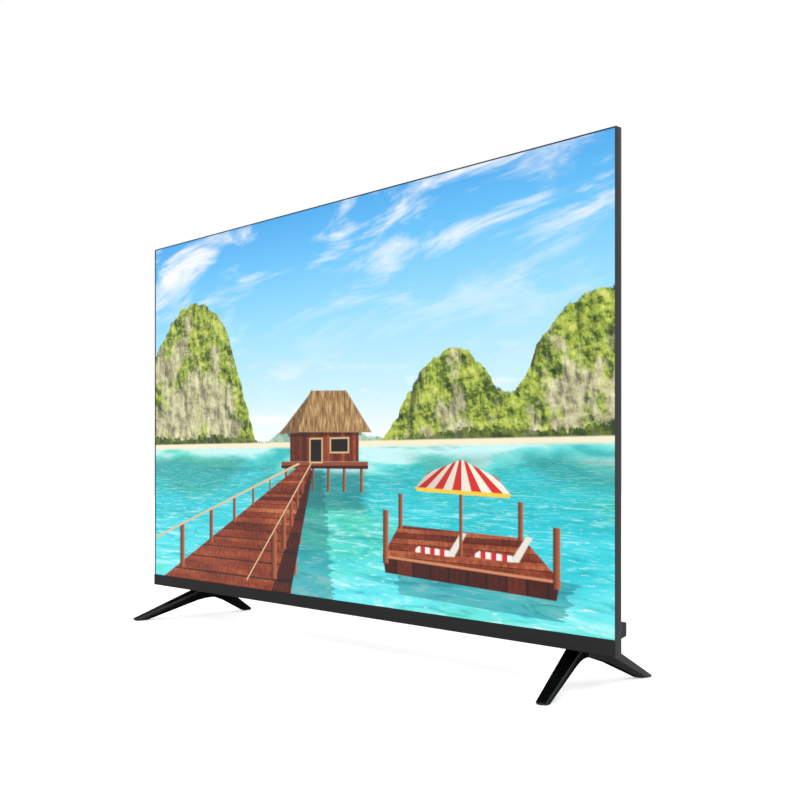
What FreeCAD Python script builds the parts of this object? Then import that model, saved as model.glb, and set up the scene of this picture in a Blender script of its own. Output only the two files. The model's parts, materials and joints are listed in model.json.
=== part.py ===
import FreeCAD, Part
import math
import os
from FreeCAD import Vector

# Flat signage display on two splayed feet, in millimetres.
# +X is to the viewer's right, +Y to the back, +Z up; the feet stand on Z = 0 and X = 0 is the middle.
# Depths called y below are counted backwards from the front of the side frame.

# Picture and frame
activeW = 941.2        # picture width of a 43 inch panel in 16:9
activeH = 529.4
lipW = 1.5             # trim in front of the panel, left, right and top
lipT = 0.9
trimWall = 1.0
frameDepth = 9.4       # side frame, front to back
barH = 16.8            # bar under the picture
barProud = 1.0         # the bar stands this far in front of the frame
barWall = 1.8
fit = 0.3              # clearance between pieces that do not touch
through = 1.0          # a cutting tool runs this far past the face that it cuts

# Feet
footH = 48.4           # floor to the underside of the bar
footInset = 86.1       # side of the frame to the middle of each foot
footY = 51.9           # apex of each foot, counted from the frame's front
frontReach = 115.6     # apex to the front tip
frontHeel = 99.4       # apex to where the front arm leaves the floor
rearReach = 92.5
rearHeel = 75.1
frontCross = 12.3      # where the front arm's top crosses the bar's underside
rearCross = 18.6
archDrop = 10.5        # arch under the apex, below the bar's underside
archRound = 16.0       # length over which the arch is rounded, each way
frontSplay = 0.34      # outward run per unit of reach
rearSplay = 0.28
splaySoft = 6.0        # length over which the two arms bend into each other
armTopHub = 22.0       # flat top of the arm at the apex
frontTipW = 12.3
rearTipW = 8.0
armBevelW = 1.0        # band along each side of the top
armBevelH = 10.2
keelShare = 0.6        # underside's width as a share of the top's
tipCut = 1.2           # blunt nose cut off each tip
padT = 0.8             # the rubber pad lifts the foot this much
padSink = 0.6
padInset = 3.0         # from the heel and the nose
padMargin = 1.2        # from the sides
tenonW = 15.0          # tongue that goes up into the housing
tenonD = 19.0
tenonRise = 18.0       # above the bar's underside
tenonBack = 1.8        # tongue to the housing's back wall
neckMargin = 1.6       # shoulder round the tongue, under the housing
footScrewGap = 9.0
footScrewR = 2.0
footHeadR = 3.3
footHeadT = 2.6
footHeadSink = 2.0     # seat of the screw heads below the bar's underside
bracketW = 36.0
bracketT = 2.0
bracketLow = 7.0       # foot bracket's low edge above the bar's underside

# Panel stack, from the front
cellT = 1.4
cellTuck = 6.0         # panel hidden behind the bar
ledgeT = 1.2
ledgeW = 2.5
railWall = 1.5
filmT = 0.25
filmCount = 3
filmGap = 0.4
diffuserT = 1.5
sheetT = 0.8           # steel of the tray
trayDepth = 26.8       # back of the tray's floor
reflectorT = 0.3
rimStep = 3.2          # rim turned in from the rail
rimW = 12.8
slopeRun = 20.0        # the tray's sloped border

# Pressed ribs of the tray
ribRise = 2.0
ribW = 16.0
ribSpread = 62.0       # from the lower row to the upper row
ribOver = 22.0         # lower row above the housing's flange
ribEnd = 76.0          # rail to the outer ribs
ribOuterL = 190.0
ribMidHalf = 180.0
uprightInset = 105.0   # rail to the upright ribs
uprightLow = 70.0
uprightGap = 20.0

# Backlight
barRows = 4
lensCols = 10
ledBarW = 16.0
ledBarT = 1.0
ledBarEnd = 12.0
lensR = 7.5
lensH = 5.2
lensHollowR = 2.8
lensHollowH = 2.2
domeShare = 1.2        # radius of the dome as a share of the lens's
chipW = 3.0
chipT = 0.7
supportR = 5.0
supportTipR = 1.2
supportShare = 0.2     # spacing of the supports as a share of the picture's width
feedR = 4.0            # hole for the backlight's feed

# Boards behind the bar
driveBoardX = 44.0     # inner end of each driver board
driveBoardEnd = 72.1   # side of the frame to its outer end
driveBoardY = 5.6
driveBoardT = 1.0
flexW = 32.0
flexT = 0.2
flexPitch = 80.0
flexCount = 4
keyBoardT = 1.0
keyBoardY0, keyBoardY1 = 1.6, 8.0
keyBoardEnd = 15.0
switchW = 6.0
switchD = 4.8
switchT = 1.5
receiverW = 5.2
receiverT = 3.6
receiverLensR = 1.6
legW = 2.0
legT = 1.4

# Power key and infrared window
keyX = 24.0
keyL = 14.0
keyW = 4.4
keyTravel = 0.6
keyFlange = 1.4
stemR = 1.2
windowX = 0.0
windowL = 16.0
windowFlange = 1.0
windowFlangeT = 0.8

# Lower rear housing
houseWall = 2.5
ledgeInset = 30.1      # side of the frame to the end of the housing's ledge
baseDepth = 57.8
baseTop = 27.0         # top of the ledge above the bar's underside
baseLow = 0.6          # underside at the front edge
baseBack = 11.7        # underside at the back edge
humpHalfW = 300.0
humpDepth = 74.0
humpTop = 342.0        # above the bar's underside, at the tray
humpDraft = 8.0
humpTopDraft = 23.0
flangeW = 14.0
flangeT = 2.5
flangeLow = 50.0
flangeScrewLow = 64.0  # lowest screw of the flange above the bar's underside
flangeRows = 3
topScrewShare = 0.42   # spacing of the top screws as a share of the hump's half width
edgeRound = 5.0
ledgeRound = 1.6

# Air slots
slotW = 2.6
slotPitch = 8.6
slotH = 26.0
slotRowGap = 9.0
slotLow = 208.0        # lower row above the bar's underside
slotStart = 136.0
slotMargin = 22.0      # from the hump's corner
topSlotY0, topSlotY1 = 42.0, 62.0
topSlotMargin = 30.0
topSlotGroup = 11      # every eleventh slot is left out

# Sockets' recesses in the housing
notchFrontY = 34.0
notchTop = 95.0
recessSide = 24.0      # hump's side to the signal recess
signalW = 164.0
mainsShift = 8.0       # power board's edge to the mains recess
mainsW = 72.0
socketProud = 0.5
socketGap = 3.2
mouthFit = 0.3

# Sockets: width, depth along y and height of the body, then width, depth and reach of its mouth
socketKinds = {
    "tuner": (13.0, 13.0, 16.0, 4.4, 4.4, 5.0),
    "network": (16.0, 13.6, 15.0, 11.8, 7.0, 12.5),
    "usb": (14.0, 7.0, 14.0, 12.5, 5.1, 12.5),
    "hdmi": (15.2, 6.2, 12.4, 14.0, 4.6, 10.4),
    "optical": (10.0, 9.4, 12.0, 6.0, 6.0, 8.0),
    "audio": (7.4, 8.0, 12.0, 3.6, 3.6, 11.0),
    "mains": (22.0, 13.0, 20.0, 17.2, 8.8, 15.0)}
socketRow = ("tuner", "network", "usb", "usb", "hdmi", "hdmi", "hdmi", "optical", "audio", "audio")
tunerBarrelR = 4.75
tunerBarrelL = 6.0
tunerShell = 4.0       # the barrel's collar inside the body
latchW = 6.4           # latch groove of the network socket
latchD = 2.4
networkShift = 0.9
usbTongueW = 11.0
usbTongueT = 1.8
usbTongueShift = 1.2
hdmiTongueW = 10.8
hdmiTongueT = 1.2
tongueStart = 1.8
pinGap = 8.6           # between the two pins of the mains inlet
pinR = 1.15
pinStart = 5.0

# Boards
boardT = 1.6
standoff = 8.0
standoffR = 3.5
boardRise = 1.0        # boards above the recesses' roofs
mainBoardH = 118.0
mainBoardOver = 6.0    # board past the signal recess
powerSide = 14.0       # hump's side to the power board
powerBoardW = 170.0
powerBoardH = 150.0
timingHalfW = 88.0
timingH = 30.0
timingGap = 1.5        # above the power board
holeInset = 6.0
holeLow = 30.0
screwR = 1.5
screwHeadR = 3.0
screwHeadT = 2.0
boardHeadR = 2.8
threadDepth = 6.0

# Parts on the boards
processorW = 28.0
processorT = 1.6
processorZ = 74.0      # above the board's low edge
memoryW = 10.0
memoryH = 14.0
memoryT = 1.2
memoryPitch = 14.0
memoryX = 37.0         # first memory chip from the processor
regulatorW = 6.0
regulatorT = 2.4
regulatorPitch = 12.0
smallCanR = 3.4
smallCanH = 8.0
plugH = 6.0
plugT = 5.0
plugL = 22.0
sinkW = 42.0
sinkBaseT = 3.0
finH = 14.0
finT = 1.2
finPitch = 4.0
finCount = 11
coreD = 20.0
coilD = 12.0
coilOver = 3.0
chokeR = 9.0
chokeWireR = 4.0
canRound = 1.2
# Power board: places are counted from its middle and its low edge
transformerPlaces = ((-22.0, 62.0, 28.0), (34.0, 66.0, 22.0))     # x, z, width
transformerShape = 0.8         # height as a share of the width
coilShape = 0.45
chokeX, chokeZ = -50.0, 40.0
canPlaces = ((8.0, 104.0, 9.0, 26.0), (30.0, 104.0, 9.0, 26.0), (-30.0, 110.0, 5.0, 20.0),
             (-44.0, 110.0, 5.0, 20.0), (-58.0, 110.0, 5.0, 20.0))    # x, z, radius, length
switchSinkX = 58.0     # from the power board's middle
switchSinkD = 26.0
switchSinkT = 2.4
switchSinkRib = 7.6
switchSinkLow, switchSinkHigh = 30.0, 96.0

# Ribbons and radio
ribbonX = 60.0
ribbonW = 30.0
ribbonT = 0.3
ribbonZ = 8.0          # above the bar's underside, where it leaves the driver board
ribbonLane = 31.0
ribbonPlugW = 32.0
ribbonPlugT = 2.4
ribbonPlugH = 5.0
ribbonPlugLow = 1.0
radioX0, radioX1 = -30.0, 8.0
radioZ = 288.0         # above the bar's underside
radioH = 26.0
radioLift = 3.0
radioCanT = 2.4
radioPegR = 2.4

# Wall mount pattern
vesa = 200.0
vesaZ = 200.0          # middle of the pattern above the bar's underside
vesaHoleR = 3.0
vesaR = 7.0
vesaFlange = 4.0
vesaFlangeT = 2.0
vesaThread = 21.5
vesaShy = 0.5          # bosses stop this far inside the housing's back

# Loudspeakers
speakerL = 82.0
speakerGap = 1.2       # foot bracket to the speaker box
speakerFront = 4.3     # housing's front edge to the box
speakerBack = 1.3      # box to the housing's back wall
speakerZ0 = 15.0
speakerWall = 1.2
driverL = 62.0
driverW = 30.0
frameRingW = 2.5
frameRingT = 0.8
frameWallT = 1.0
frameWallH = 1.8
yokeT = 0.8
windowDrop = 11.0      # frame's open ends
yokeW = 12.0
magnetR = 9.0
coneInset = 6.0        # basket's edge to the cone
coneT = 0.5
coneLift = 0.9
surroundT = 0.4
surroundInset = 2.7
soundSlots = 9
soundPitch = 6.0
soundW = 2.4
soundY0, soundY1 = 22.0, 46.0

# Mains switch
rockerSide = 50.0      # hump's side to the switch
rockerZ = 64.0
rockerW = 10.0
rockerL = 15.0
rockerTilt = 12.0      # degrees from one end to the other
rockerProud = 1.0      # paddle's ridge above the housing's back
rockerShell = 1.6
rockerFlange = 3.4
rockerFlangeT = 1.6
rockerBodyD = 16.0
wellD = 9.0
pinDeep = 3.0
pinRockerR = 1.5
pinFit = 0.05
journalL = 1.1
bladeL = 7.0
bladeW = 4.8
bladeT = 0.8
bladePitch = 6.0

# Leads
leadR = 1.0
leadLane = 29.2

# Derived planes
halfW = activeW / 2 + lipW
barZ = footH
screenZ = barZ + barH
topZ = screenZ + activeH + lipW
frontY = -(footY + (rearReach - frontReach) / 2)
cellY = lipT + fit
railY = cellY + cellT
filmY = railY + ledgeT
diffuserY = filmY + filmT * filmCount
rimY = diffuserY + diffuserT
floorY = trayDepth - sheetT
ledBarY = floorY - ledBarT
railX = halfW - trimWall - fit
railTop = topZ - trimWall - fit
railLow = screenZ - cellTuck - railWall
boardY = trayDepth + standoff
boardBack = boardY + boardT
boardLow = barZ + notchTop + houseWall + boardRise
baseFront = frameDepth + fit
baseSlope = (baseBack - baseLow) / (baseDepth - baseFront)
baseHalfW = halfW - ledgeInset
footX = halfW - footInset
tenonY = baseDepth - houseWall - tenonBack - tenonD / 2
signalX0 = recessSide - humpHalfW
signalX1 = signalX0 + signalW
powerX1 = humpHalfW - powerSide
powerX0 = powerX1 - powerBoardW
mainsX0 = powerX0 + mainsShift
mainsX1 = mainsX0 + mainsW
timingZ0 = boardLow + powerBoardH + timingGap
speakerX1 = footX - bracketW / 2 - speakerGap
speakerX0 = speakerX1 - speakerL
speakerY0 = baseFront + speakerFront
speakerY1 = baseDepth - houseWall - speakerBack
rockerX = humpHalfW - rockerSide
vesaMidZ = barZ + vesaZ
switchZ = railLow - fit - keyBoardT
barMidY = (barWall - barProud + frameDepth) / 2

parts = {}


def V(x, y, z):
    return Vector(x, frontY + y, z)


def box(x0, x1, y0, y1, z0, z1):
    return Part.makeBox(x1 - x0, y1 - y0, z1 - z0, V(x0, y0, z0))


def blockY(x, z, w, h, y0, y1):
    # a block round the middle (x, z), standing along Y
    return box(x - w / 2, x + w / 2, y0, y1, z - h / 2, z + h / 2)


def blockZ(x, y, w, d, z0, z1):
    # a block round the middle (x, y), standing along Z
    return box(x - w / 2, x + w / 2, y - d / 2, y + d / 2, z0, z1)


def rodX(y, z, r, x0, x1):
    return Part.makeCylinder(r, x1 - x0, V(x0, y, z), Vector(1, 0, 0))


def rodY(x, z, r, y0, y1):
    return Part.makeCylinder(r, y1 - y0, V(x, y0, z), Vector(0, 1, 0))


def rodZ(x, y, r, z0, z1):
    return Part.makeCylinder(r, z1 - z0, V(x, y, z0), Vector(0, 0, 1))


def polygonFace(points):
    return Part.Face(Part.makePolygon(points + [points[0]]))


def prismY(points, y0, y1):
    # points are (x, z)
    return polygonFace([V(x, y0, z) for x, z in points]).extrude(Vector(0, y1 - y0, 0))


def prismX(points, x0, x1):
    # points are (y, z)
    return polygonFace([V(x0, y, z) for y, z in points]).extrude(Vector(x1 - x0, 0, 0))


def rectangleWire(x0, x1, z0, z1, y):
    corners = [V(x0, y, z0), V(x1, y, z0), V(x1, y, z1), V(x0, y, z1)]
    return Part.makePolygon(corners + [corners[0]])


def frustum(front, frontDepth, back, backDepth):
    # front and back are (x0, x1, z0, z1)
    wires = [rectangleWire(*front, frontDepth), rectangleWire(*back, backDepth)]
    return Part.makeLoft(wires, True, True)


def stadium(x, y, length, width, z0, z1):
    # a round-ended bar standing along Z, long along X
    r = width / 2
    h = length / 2 - r
    face = Part.Face(Part.Wire([
        Part.makeLine(V(x - h, y - r, z0), V(x + h, y - r, z0)),
        Part.Arc(V(x + h, y - r, z0), V(x + h + r, y, z0), V(x + h, y + r, z0)).toShape(),
        Part.makeLine(V(x + h, y + r, z0), V(x - h, y + r, z0)),
        Part.Arc(V(x - h, y + r, z0), V(x - h - r, y, z0), V(x - h, y - r, z0)).toShape()]))
    return face.extrude(Vector(0, 0, z1 - z0))


def fuse(shapes):
    joined = shapes[0].fuse(shapes[1:]) if len(shapes) > 1 else shapes[0]
    return joined.removeSplitter()


def cut(shape, tools):
    return shape.cut(Part.makeCompound(tools))


def mirrored(shape):
    return shape.mirror(Vector(0, 0, 0), Vector(1, 0, 0))


def group(shapes):
    return Part.makeCompound(shapes)


def railRectangle(inset):
    return (-railX + inset, railX - inset, railLow + inset, railTop - inset)


def ring(outer, inner, y0, y1):
    return frustum(outer, y0, outer, y1).cut(frustum(inner, y0, inner, y1))


def dishInset(y):
    # how far the tray's sloped border has run in at depth y
    return rimStep + rimW + slopeRun * (y - rimY) / (trayDepth - rimY)


def underside(y):
    # the housing's slanted underside
    return barZ + baseLow + baseSlope * (y - baseFront)


def tube(points, r):
    # straight runs joined by tangent arcs
    pts = [V(*p) for p in points]
    edges = []
    start = pts[0]
    for before, here, after in zip(pts, pts[1:], pts[2:]):
        a = (before - here).normalize()
        b = (after - here).normalize()
        turn = math.pi - a.getAngle(b)
        run = min((before - here).Length, (after - here).Length)
        back = 0.45 * run
        bend = back / math.tan(turn / 2)
        into = here + a * back
        out = here + b * back
        middle = here + (a + b).normalize() * (bend / math.cos(turn / 2) - bend)
        edges.append(Part.makeLine(start, into))
        edges.append(Part.Arc(into, middle, out).toShape())
        start = out
    edges.append(Part.makeLine(start, pts[-1]))
    circle = Part.Wire(Part.makeCircle(r, pts[0], pts[1] - pts[0]))
    return Part.Wire(edges).makePipeShell([circle], True, False)


def makeTrims():
    inX = halfW - trimWall
    lipX = halfW - lipW
    side = fuse([
        prismY([(lipX, screenZ), (halfW, screenZ), (halfW, topZ), (lipX, topZ - lipW)], 0, lipT),
        prismY([(inX, screenZ), (halfW, screenZ), (halfW, topZ), (inX, topZ - trimWall)], 0, frameDepth)])
    top = fuse([
        prismY([(-halfW, topZ), (-lipX, topZ - lipW), (lipX, topZ - lipW), (halfW, topZ)], 0, lipT),
        prismY([(-halfW, topZ), (-inX, topZ - trimWall), (inX, topZ - trimWall), (halfW, topZ)],
               0, frameDepth)])
    parts["bezel_right"] = side
    parts["bezel_left"] = mirrored(side)
    parts["bezel_top"] = top


def makeBottomBar():
    wallIn = barWall - barProud
    floor = barZ + barWall
    bar = fuse([
        box(-halfW, halfW, -barProud, wallIn, barZ, screenZ),
        box(-halfW, halfW, -barProud, frameDepth, barZ, floor),
        box(-halfW, -halfW + trimWall, -barProud, frameDepth, barZ, screenZ),
        box(halfW - trimWall, halfW, -barProud, frameDepth, barZ, screenZ)])
    keyHole = blockZ(keyX, barMidY, keyL + 2 * fit, keyW + 2 * fit, barZ - through, floor + through)
    window = blockZ(windowX, barMidY, windowL, keyW, barZ - through, floor + through)
    parts["bottom_bar"] = cut(bar, [keyHole, window])


def makeKeyAndWindow():
    floor = barZ + barWall
    parts["ir_window"] = fuse([
        blockZ(windowX, barMidY, windowL, keyW, barZ, floor),
        blockZ(windowX, barMidY, windowL + 2 * windowFlange, keyW + 2 * windowFlange,
               floor, floor + windowFlangeT)])
    keyTop = floor + keyFlange
    parts["power_key"] = fuse([
        blockZ(keyX, barMidY, keyL, keyW, barZ, keyTop),
        blockZ(keyX, barMidY, keyL + 2 * keyFlange, keyW, floor + fit, keyTop),
        rodZ(keyX, barMidY, stemR, keyTop, switchZ - switchT - keyTravel - fit)])
    # small board with the receiver over the window and the key's switch
    x0 = windowX - keyBoardEnd
    x1 = keyX + keyBoardEnd
    board = box(x0, x1, keyBoardY0, keyBoardY1, switchZ, switchZ + keyBoardT)
    lensZ = switchZ - receiverT
    receiver = fuse([
        blockZ(windowX, barMidY, receiverW, keyW, lensZ, switchZ),
        rodZ(windowX, barMidY, receiverLensR, lensZ - windowFlangeT, lensZ)])
    switch = blockZ(keyX, barMidY, switchW, switchD, switchZ - switchT, switchZ)
    legs = [box(x, x + legW, keyBoardY0, keyBoardY0 + legT, floor, switchZ) for x in (x0, x1 - legW)]
    parts["key_board"] = fuse([board, receiver, switch] + legs)


def makePanel():
    parts["lcd_cell"] = box(-railX, railX, cellY, railY, screenZ - cellTuck, railTop)
    outer = railRectangle(0)
    parts["mid_frame"] = fuse([
        ring(outer, railRectangle(railWall), railY, frameDepth - sheetT),
        ring(outer, railRectangle(ledgeW), railY, filmY)])
    x0, x1, z0, z1 = railRectangle(railWall + filmGap)
    films = [box(x0, x1, filmY + i * filmT, filmY + (i + 1) * filmT, z0, z1) for i in range(filmCount)]
    parts["optical_films"] = group(films)
    parts["diffuser_plate"] = box(x0, x1, diffuserY, rimY, z0, z1)
    # driver boards stand in the bar, joined to the panel by short flexes
    boardZ0 = barZ + barWall + fit
    boardZ1 = railLow - filmGap
    flexY = cellY + flexT
    flexZ = boardZ1 - sheetT
    boards = []
    flexes = []
    for side in (-1, 1):
        x0, x1 = sorted((side * driveBoardX, side * (halfW - driveBoardEnd)))
        boards.append(box(x0, x1, driveBoardY, driveBoardY + driveBoardT, boardZ0, boardZ1))
        for i in range(flexCount):
            x = (x0 + x1) / 2 + flexPitch * (i - (flexCount - 1) / 2)
            flexes.append(fuse([
                box(x - flexW / 2, x + flexW / 2, flexY, flexY + flexT, flexZ, screenZ - cellTuck),
                box(x - flexW / 2, x + flexW / 2, flexY, driveBoardY, flexZ, flexZ + flexT)]))
    parts["source_boards"] = group(boards)
    parts["panel_flexes"] = group(flexes)


def ribBlock(x0, x1, z0, z1, shrink, y0, y1):
    # a pressed rib with sloped sides
    base = (x0 + shrink, x1 - shrink, z0 + shrink, z1 - shrink)
    run = ribRise + shrink
    crown = (x0 + run, x1 - run, z0 + run, z1 - run)
    return frustum(base, y0, crown, y1)


def ribPlaces():
    # (x0, x1, z0, z1) of each pressed rib
    low = barZ + humpTop + flangeW + ribOver
    outerX = railX - ribEnd
    rows = [(x0, x1, z, z + ribW) for z in (low, low + ribSpread)
            for x0, x1 in ((-outerX, ribOuterL - outerX), (-ribMidHalf, ribMidHalf),
                           (outerX - ribOuterL, outerX))]
    uprights = [(side * (railX - uprightInset) - ribW / 2, side * (railX - uprightInset) + ribW / 2,
                 barZ + uprightLow, low - uprightGap) for side in (-1, 1)]
    return rows + uprights


def makeTray():
    wallShift = sheetT * math.sqrt(2)
    outer = frustum(railRectangle(dishInset(rimY)), rimY, railRectangle(dishInset(trayDepth)), trayDepth)
    inner = frustum(railRectangle(dishInset(rimY) + wallShift), rimY,
                    railRectangle(dishInset(floorY) + wallShift), floorY)
    ribs = [ribBlock(*place, 0, trayDepth, trayDepth + ribRise) for place in ribPlaces()]
    hollows = [ribBlock(*place, sheetT, floorY, trayDepth + ribRise - sheetT) for place in ribPlaces()]
    rim = ring(railRectangle(rimStep), railRectangle(dishInset(rimY) + wallShift), rimY, rimY + sheetT)
    step = ring(railRectangle(rimStep), railRectangle(rimStep + sheetT), rimY, frameDepth)
    edge = ring(railRectangle(0), railRectangle(rimStep + sheetT), frameDepth - sheetT, frameDepth)
    skirtX = halfW - barWall - fit
    skirt = box(-skirtX, skirtX, frameDepth - sheetT, frameDepth, barZ + barWall + flexT, railLow + rimStep)
    tray = cut(fuse([outer] + ribs + [rim, step, edge, skirt]), [inner] + hollows)
    hole = screwR + filmT / 2
    holes = [rodY(x, z, hole, floorY - through, trayDepth + through) for x, z in flangeScrews()]
    holes += [blockY(side * ribbonX, barZ + ribbonZ, ribbonW + 4 * through, 2 * sheetT,
                     frameDepth - sheetT - through, frameDepth + through) for side in (-1, 1)]
    x, z = feedPlace()
    holes.append(rodY(x, z, feedR, floorY - through, trayDepth + through))
    parts["back_tray"] = cut(tray, holes)


def feedPlace():
    # where the backlight's feed goes through the tray, behind the second row of lamps
    x0, x1, z0, z1 = railRectangle(dishInset(trayDepth))
    return powerX0 - 2 * feedR, z0 + (z1 - z0) * 1.5 / barRows


def flangeScrews():
    # (x, z) of the screws round the housing's flange
    x = humpHalfW + flangeW / 2 - screwR / 2
    z1 = barZ + humpTop + flangeW / 2
    zs = [barZ + flangeScrewLow + i * (humpTop - flangeScrewLow) / flangeRows for i in range(flangeRows)]
    places = [(side * x, z) for side in (-1, 1) for z in zs]
    places += [(i * humpHalfW * topScrewShare, z1) for i in (-2, -1, 0, 1, 2)]
    return places


def lensPlaces():
    x0, x1, z0, z1 = railRectangle(dishInset(trayDepth))
    places = []
    for row in range(barRows):
        z = z0 + (z1 - z0) * (row + 0.5) / barRows
        for col in range(lensCols):
            places.append((x0 + (x1 - x0) * (col + 0.5) / lensCols, z))
    return places


def makeBacklight():
    x0, x1, z0, z1 = railRectangle(dishInset(trayDepth))
    bars = []
    for row in range(barRows):
        z = z0 + (z1 - z0) * (row + 0.5) / barRows
        strip = box(x0 + ledBarEnd, x1 - ledBarEnd, ledBarY, floorY, z - ledBarW / 2, z + ledBarW / 2)
        chips = [blockY(x, z, chipW, chipW, ledBarY - chipT, ledBarY)
                 for x, lensZ in lensPlaces() if abs(lensZ - z) < chipW]
        bars.append(fuse([strip] + chips))
    parts["led_bars"] = group(bars)
    domeR = lensR * domeShare
    dome = Part.makeSphere(domeR, V(0, ledBarY + domeR - lensH, 0))
    lens = dome.common(rodY(0, 0, lensR, ledBarY - lensH, ledBarY))
    lens = lens.cut(rodY(0, 0, lensHollowR, ledBarY - lensHollowH, ledBarY))
    parts["led_lenses"] = group([lens.translated(Vector(x, 0, z)) for x, z in lensPlaces()])
    shift = (sheetT + fit) * math.sqrt(2)
    foil = reflectorT * 1.5
    flat = ledBarY - reflectorT
    lift = floorY - ledBarY
    front = rimY + 2 * filmT

    def sheetInset(y):
        return dishInset(y + lift) + shift

    outer = frustum(railRectangle(sheetInset(front)), front, railRectangle(sheetInset(ledBarY)), ledBarY)
    inner = frustum(railRectangle(sheetInset(front) + foil), front,
                    railRectangle(sheetInset(flat) + foil), flat)
    holes = [rodY(x, z, lensR + 2 * filmT, flat - through, ledBarY + through) for x, z in lensPlaces()]
    parts["reflector_sheet"] = cut(outer, [inner] + holes)
    supports = []
    for column in (-1.5, -0.5, 0.5, 1.5):
        for row in (1, barRows - 1):
            z = z0 + (z1 - z0) * row / barRows
            supports.append(Part.makeCone(supportR, supportTipR, flat - rimY - fit,
                                          V(column * supportShare * activeW, flat, z), Vector(0, -1, 0)))
    parts["diffuser_supports"] = group(supports)


def humpRectangle(y, inset):
    # the hump's section at depth y, drawn in by the wall
    t = (y - trayDepth) / (humpDepth - trayDepth)
    x = humpHalfW - humpDraft * t - inset
    return (-x, x, underside(y) + inset, barZ + humpTop - humpTopDraft * t - inset)


def neckZ():
    # low edge of the housing's front opening, just above the tray's skirt
    return railLow + rimStep + sheetT + fit


def baseProfile(inset):
    slopeInset = inset * math.sqrt(1 + baseSlope ** 2)
    tongue = rimY + sheetT + fit
    y0 = baseFront
    y1 = baseDepth - inset
    top = barZ + baseTop - inset
    return [(y0, underside(y0) + slopeInset), (y1, underside(y1) + slopeInset), (y1, top),
            (tongue, top), (tongue, neckZ()), (y0, neckZ())]


def notches():
    top = barZ + notchTop
    low = barZ - 5 * through
    return [(x0, x1, notchFrontY, humpDepth + 10 * through, low, top)
            for x0, x1 in ((signalX0, signalX1), (mainsX0, mainsX1))]


def roundEdges(shape, radius, wanted):
    edges = [e for e in shape.Edges if wanted(e)]
    return shape.makeFillet(radius, edges) if edges else shape


def allAtDepth(edge, y):
    return all(abs(v.Y - frontY - y) < 0.01 for v in edge.Vertexes)


def makeHousing():
    front = rimY + sheetT + fit
    w = houseWall
    ledgeZ = barZ + baseTop
    base = prismX(baseProfile(0), -baseHalfW, baseHalfW)
    base = roundEdges(base, ledgeRound, lambda e: (
        allAtDepth(e, baseDepth) and all(v.Z > ledgeZ - through for v in e.Vertexes)))
    hump = frustum(humpRectangle(front, 0), front, humpRectangle(humpDepth, 0), humpDepth)
    humpLow = underside(humpDepth) + through

    def crownEdge(e):
        ys = [v.Y - frontY for v in e.Vertexes]
        along = max(ys) > humpDepth - through and min(ys) < humpDepth - 10 * through
        middle = e.CenterOfMass.z
        return middle > humpLow and (allAtDepth(e, humpDepth) or (along and middle > ledgeZ + notchTop))

    hump = roundEdges(hump, edgeRound, crownEdge)
    flangeY = trayDepth + fit
    flange = box(-humpHalfW - flangeW, humpHalfW + flangeW, flangeY, flangeY + flangeT,
                 barZ + flangeLow, barZ + humpTop + flangeW)
    cells = [box(*n) for n in notches()]
    grown = [box(x0 - w, x1 + w, y0 - w, y1, z0, z1 + w) for x0, x1, y0, y1, z0, z1 in notches()]
    hollowBase = prismX(baseProfile(w), -baseHalfW + w, baseHalfW - w)
    hollowBase = hollowBase.fuse(box(-baseHalfW + w, baseHalfW - w, front - through, baseFront + through,
                                     neckZ() + w, ledgeZ - w))
    y1 = humpDepth - w
    y0 = front - 2 * through
    hollowHump = frustum(humpRectangle(y0, w), y0, humpRectangle(y1, w), y1)
    hollow = cut(hollowBase.fuse(hollowHump), grown)
    clear = box(-halfW, halfW, 0, baseFront, 0, neckZ())
    outer = cut(fuse([base, hump, flange]), cells + [clear])
    foil = reflectorT * 1.5
    envelope = frustum(railRectangle(dishInset(y0) - foil), y0,
                       railRectangle(dishInset(flangeY) - foil), flangeY)
    shell = cut(outer.cut(hollow).cut(envelope), housingHoles())
    parts["rear_housing"] = shell.removeSplitter()
    seat = flangeY + flangeT
    heads = [fuse([rodY(x, z, screwHeadR, seat, seat + screwHeadT),
                   rodY(x, z, screwR, floorY - fit, seat)]) for x, z in flangeScrews()]
    parts["housing_screws"] = group(heads)


def slotXs(start, end, pitch):
    return [start + i * pitch for i in range(int((end - start) / pitch) + 1)]


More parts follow.
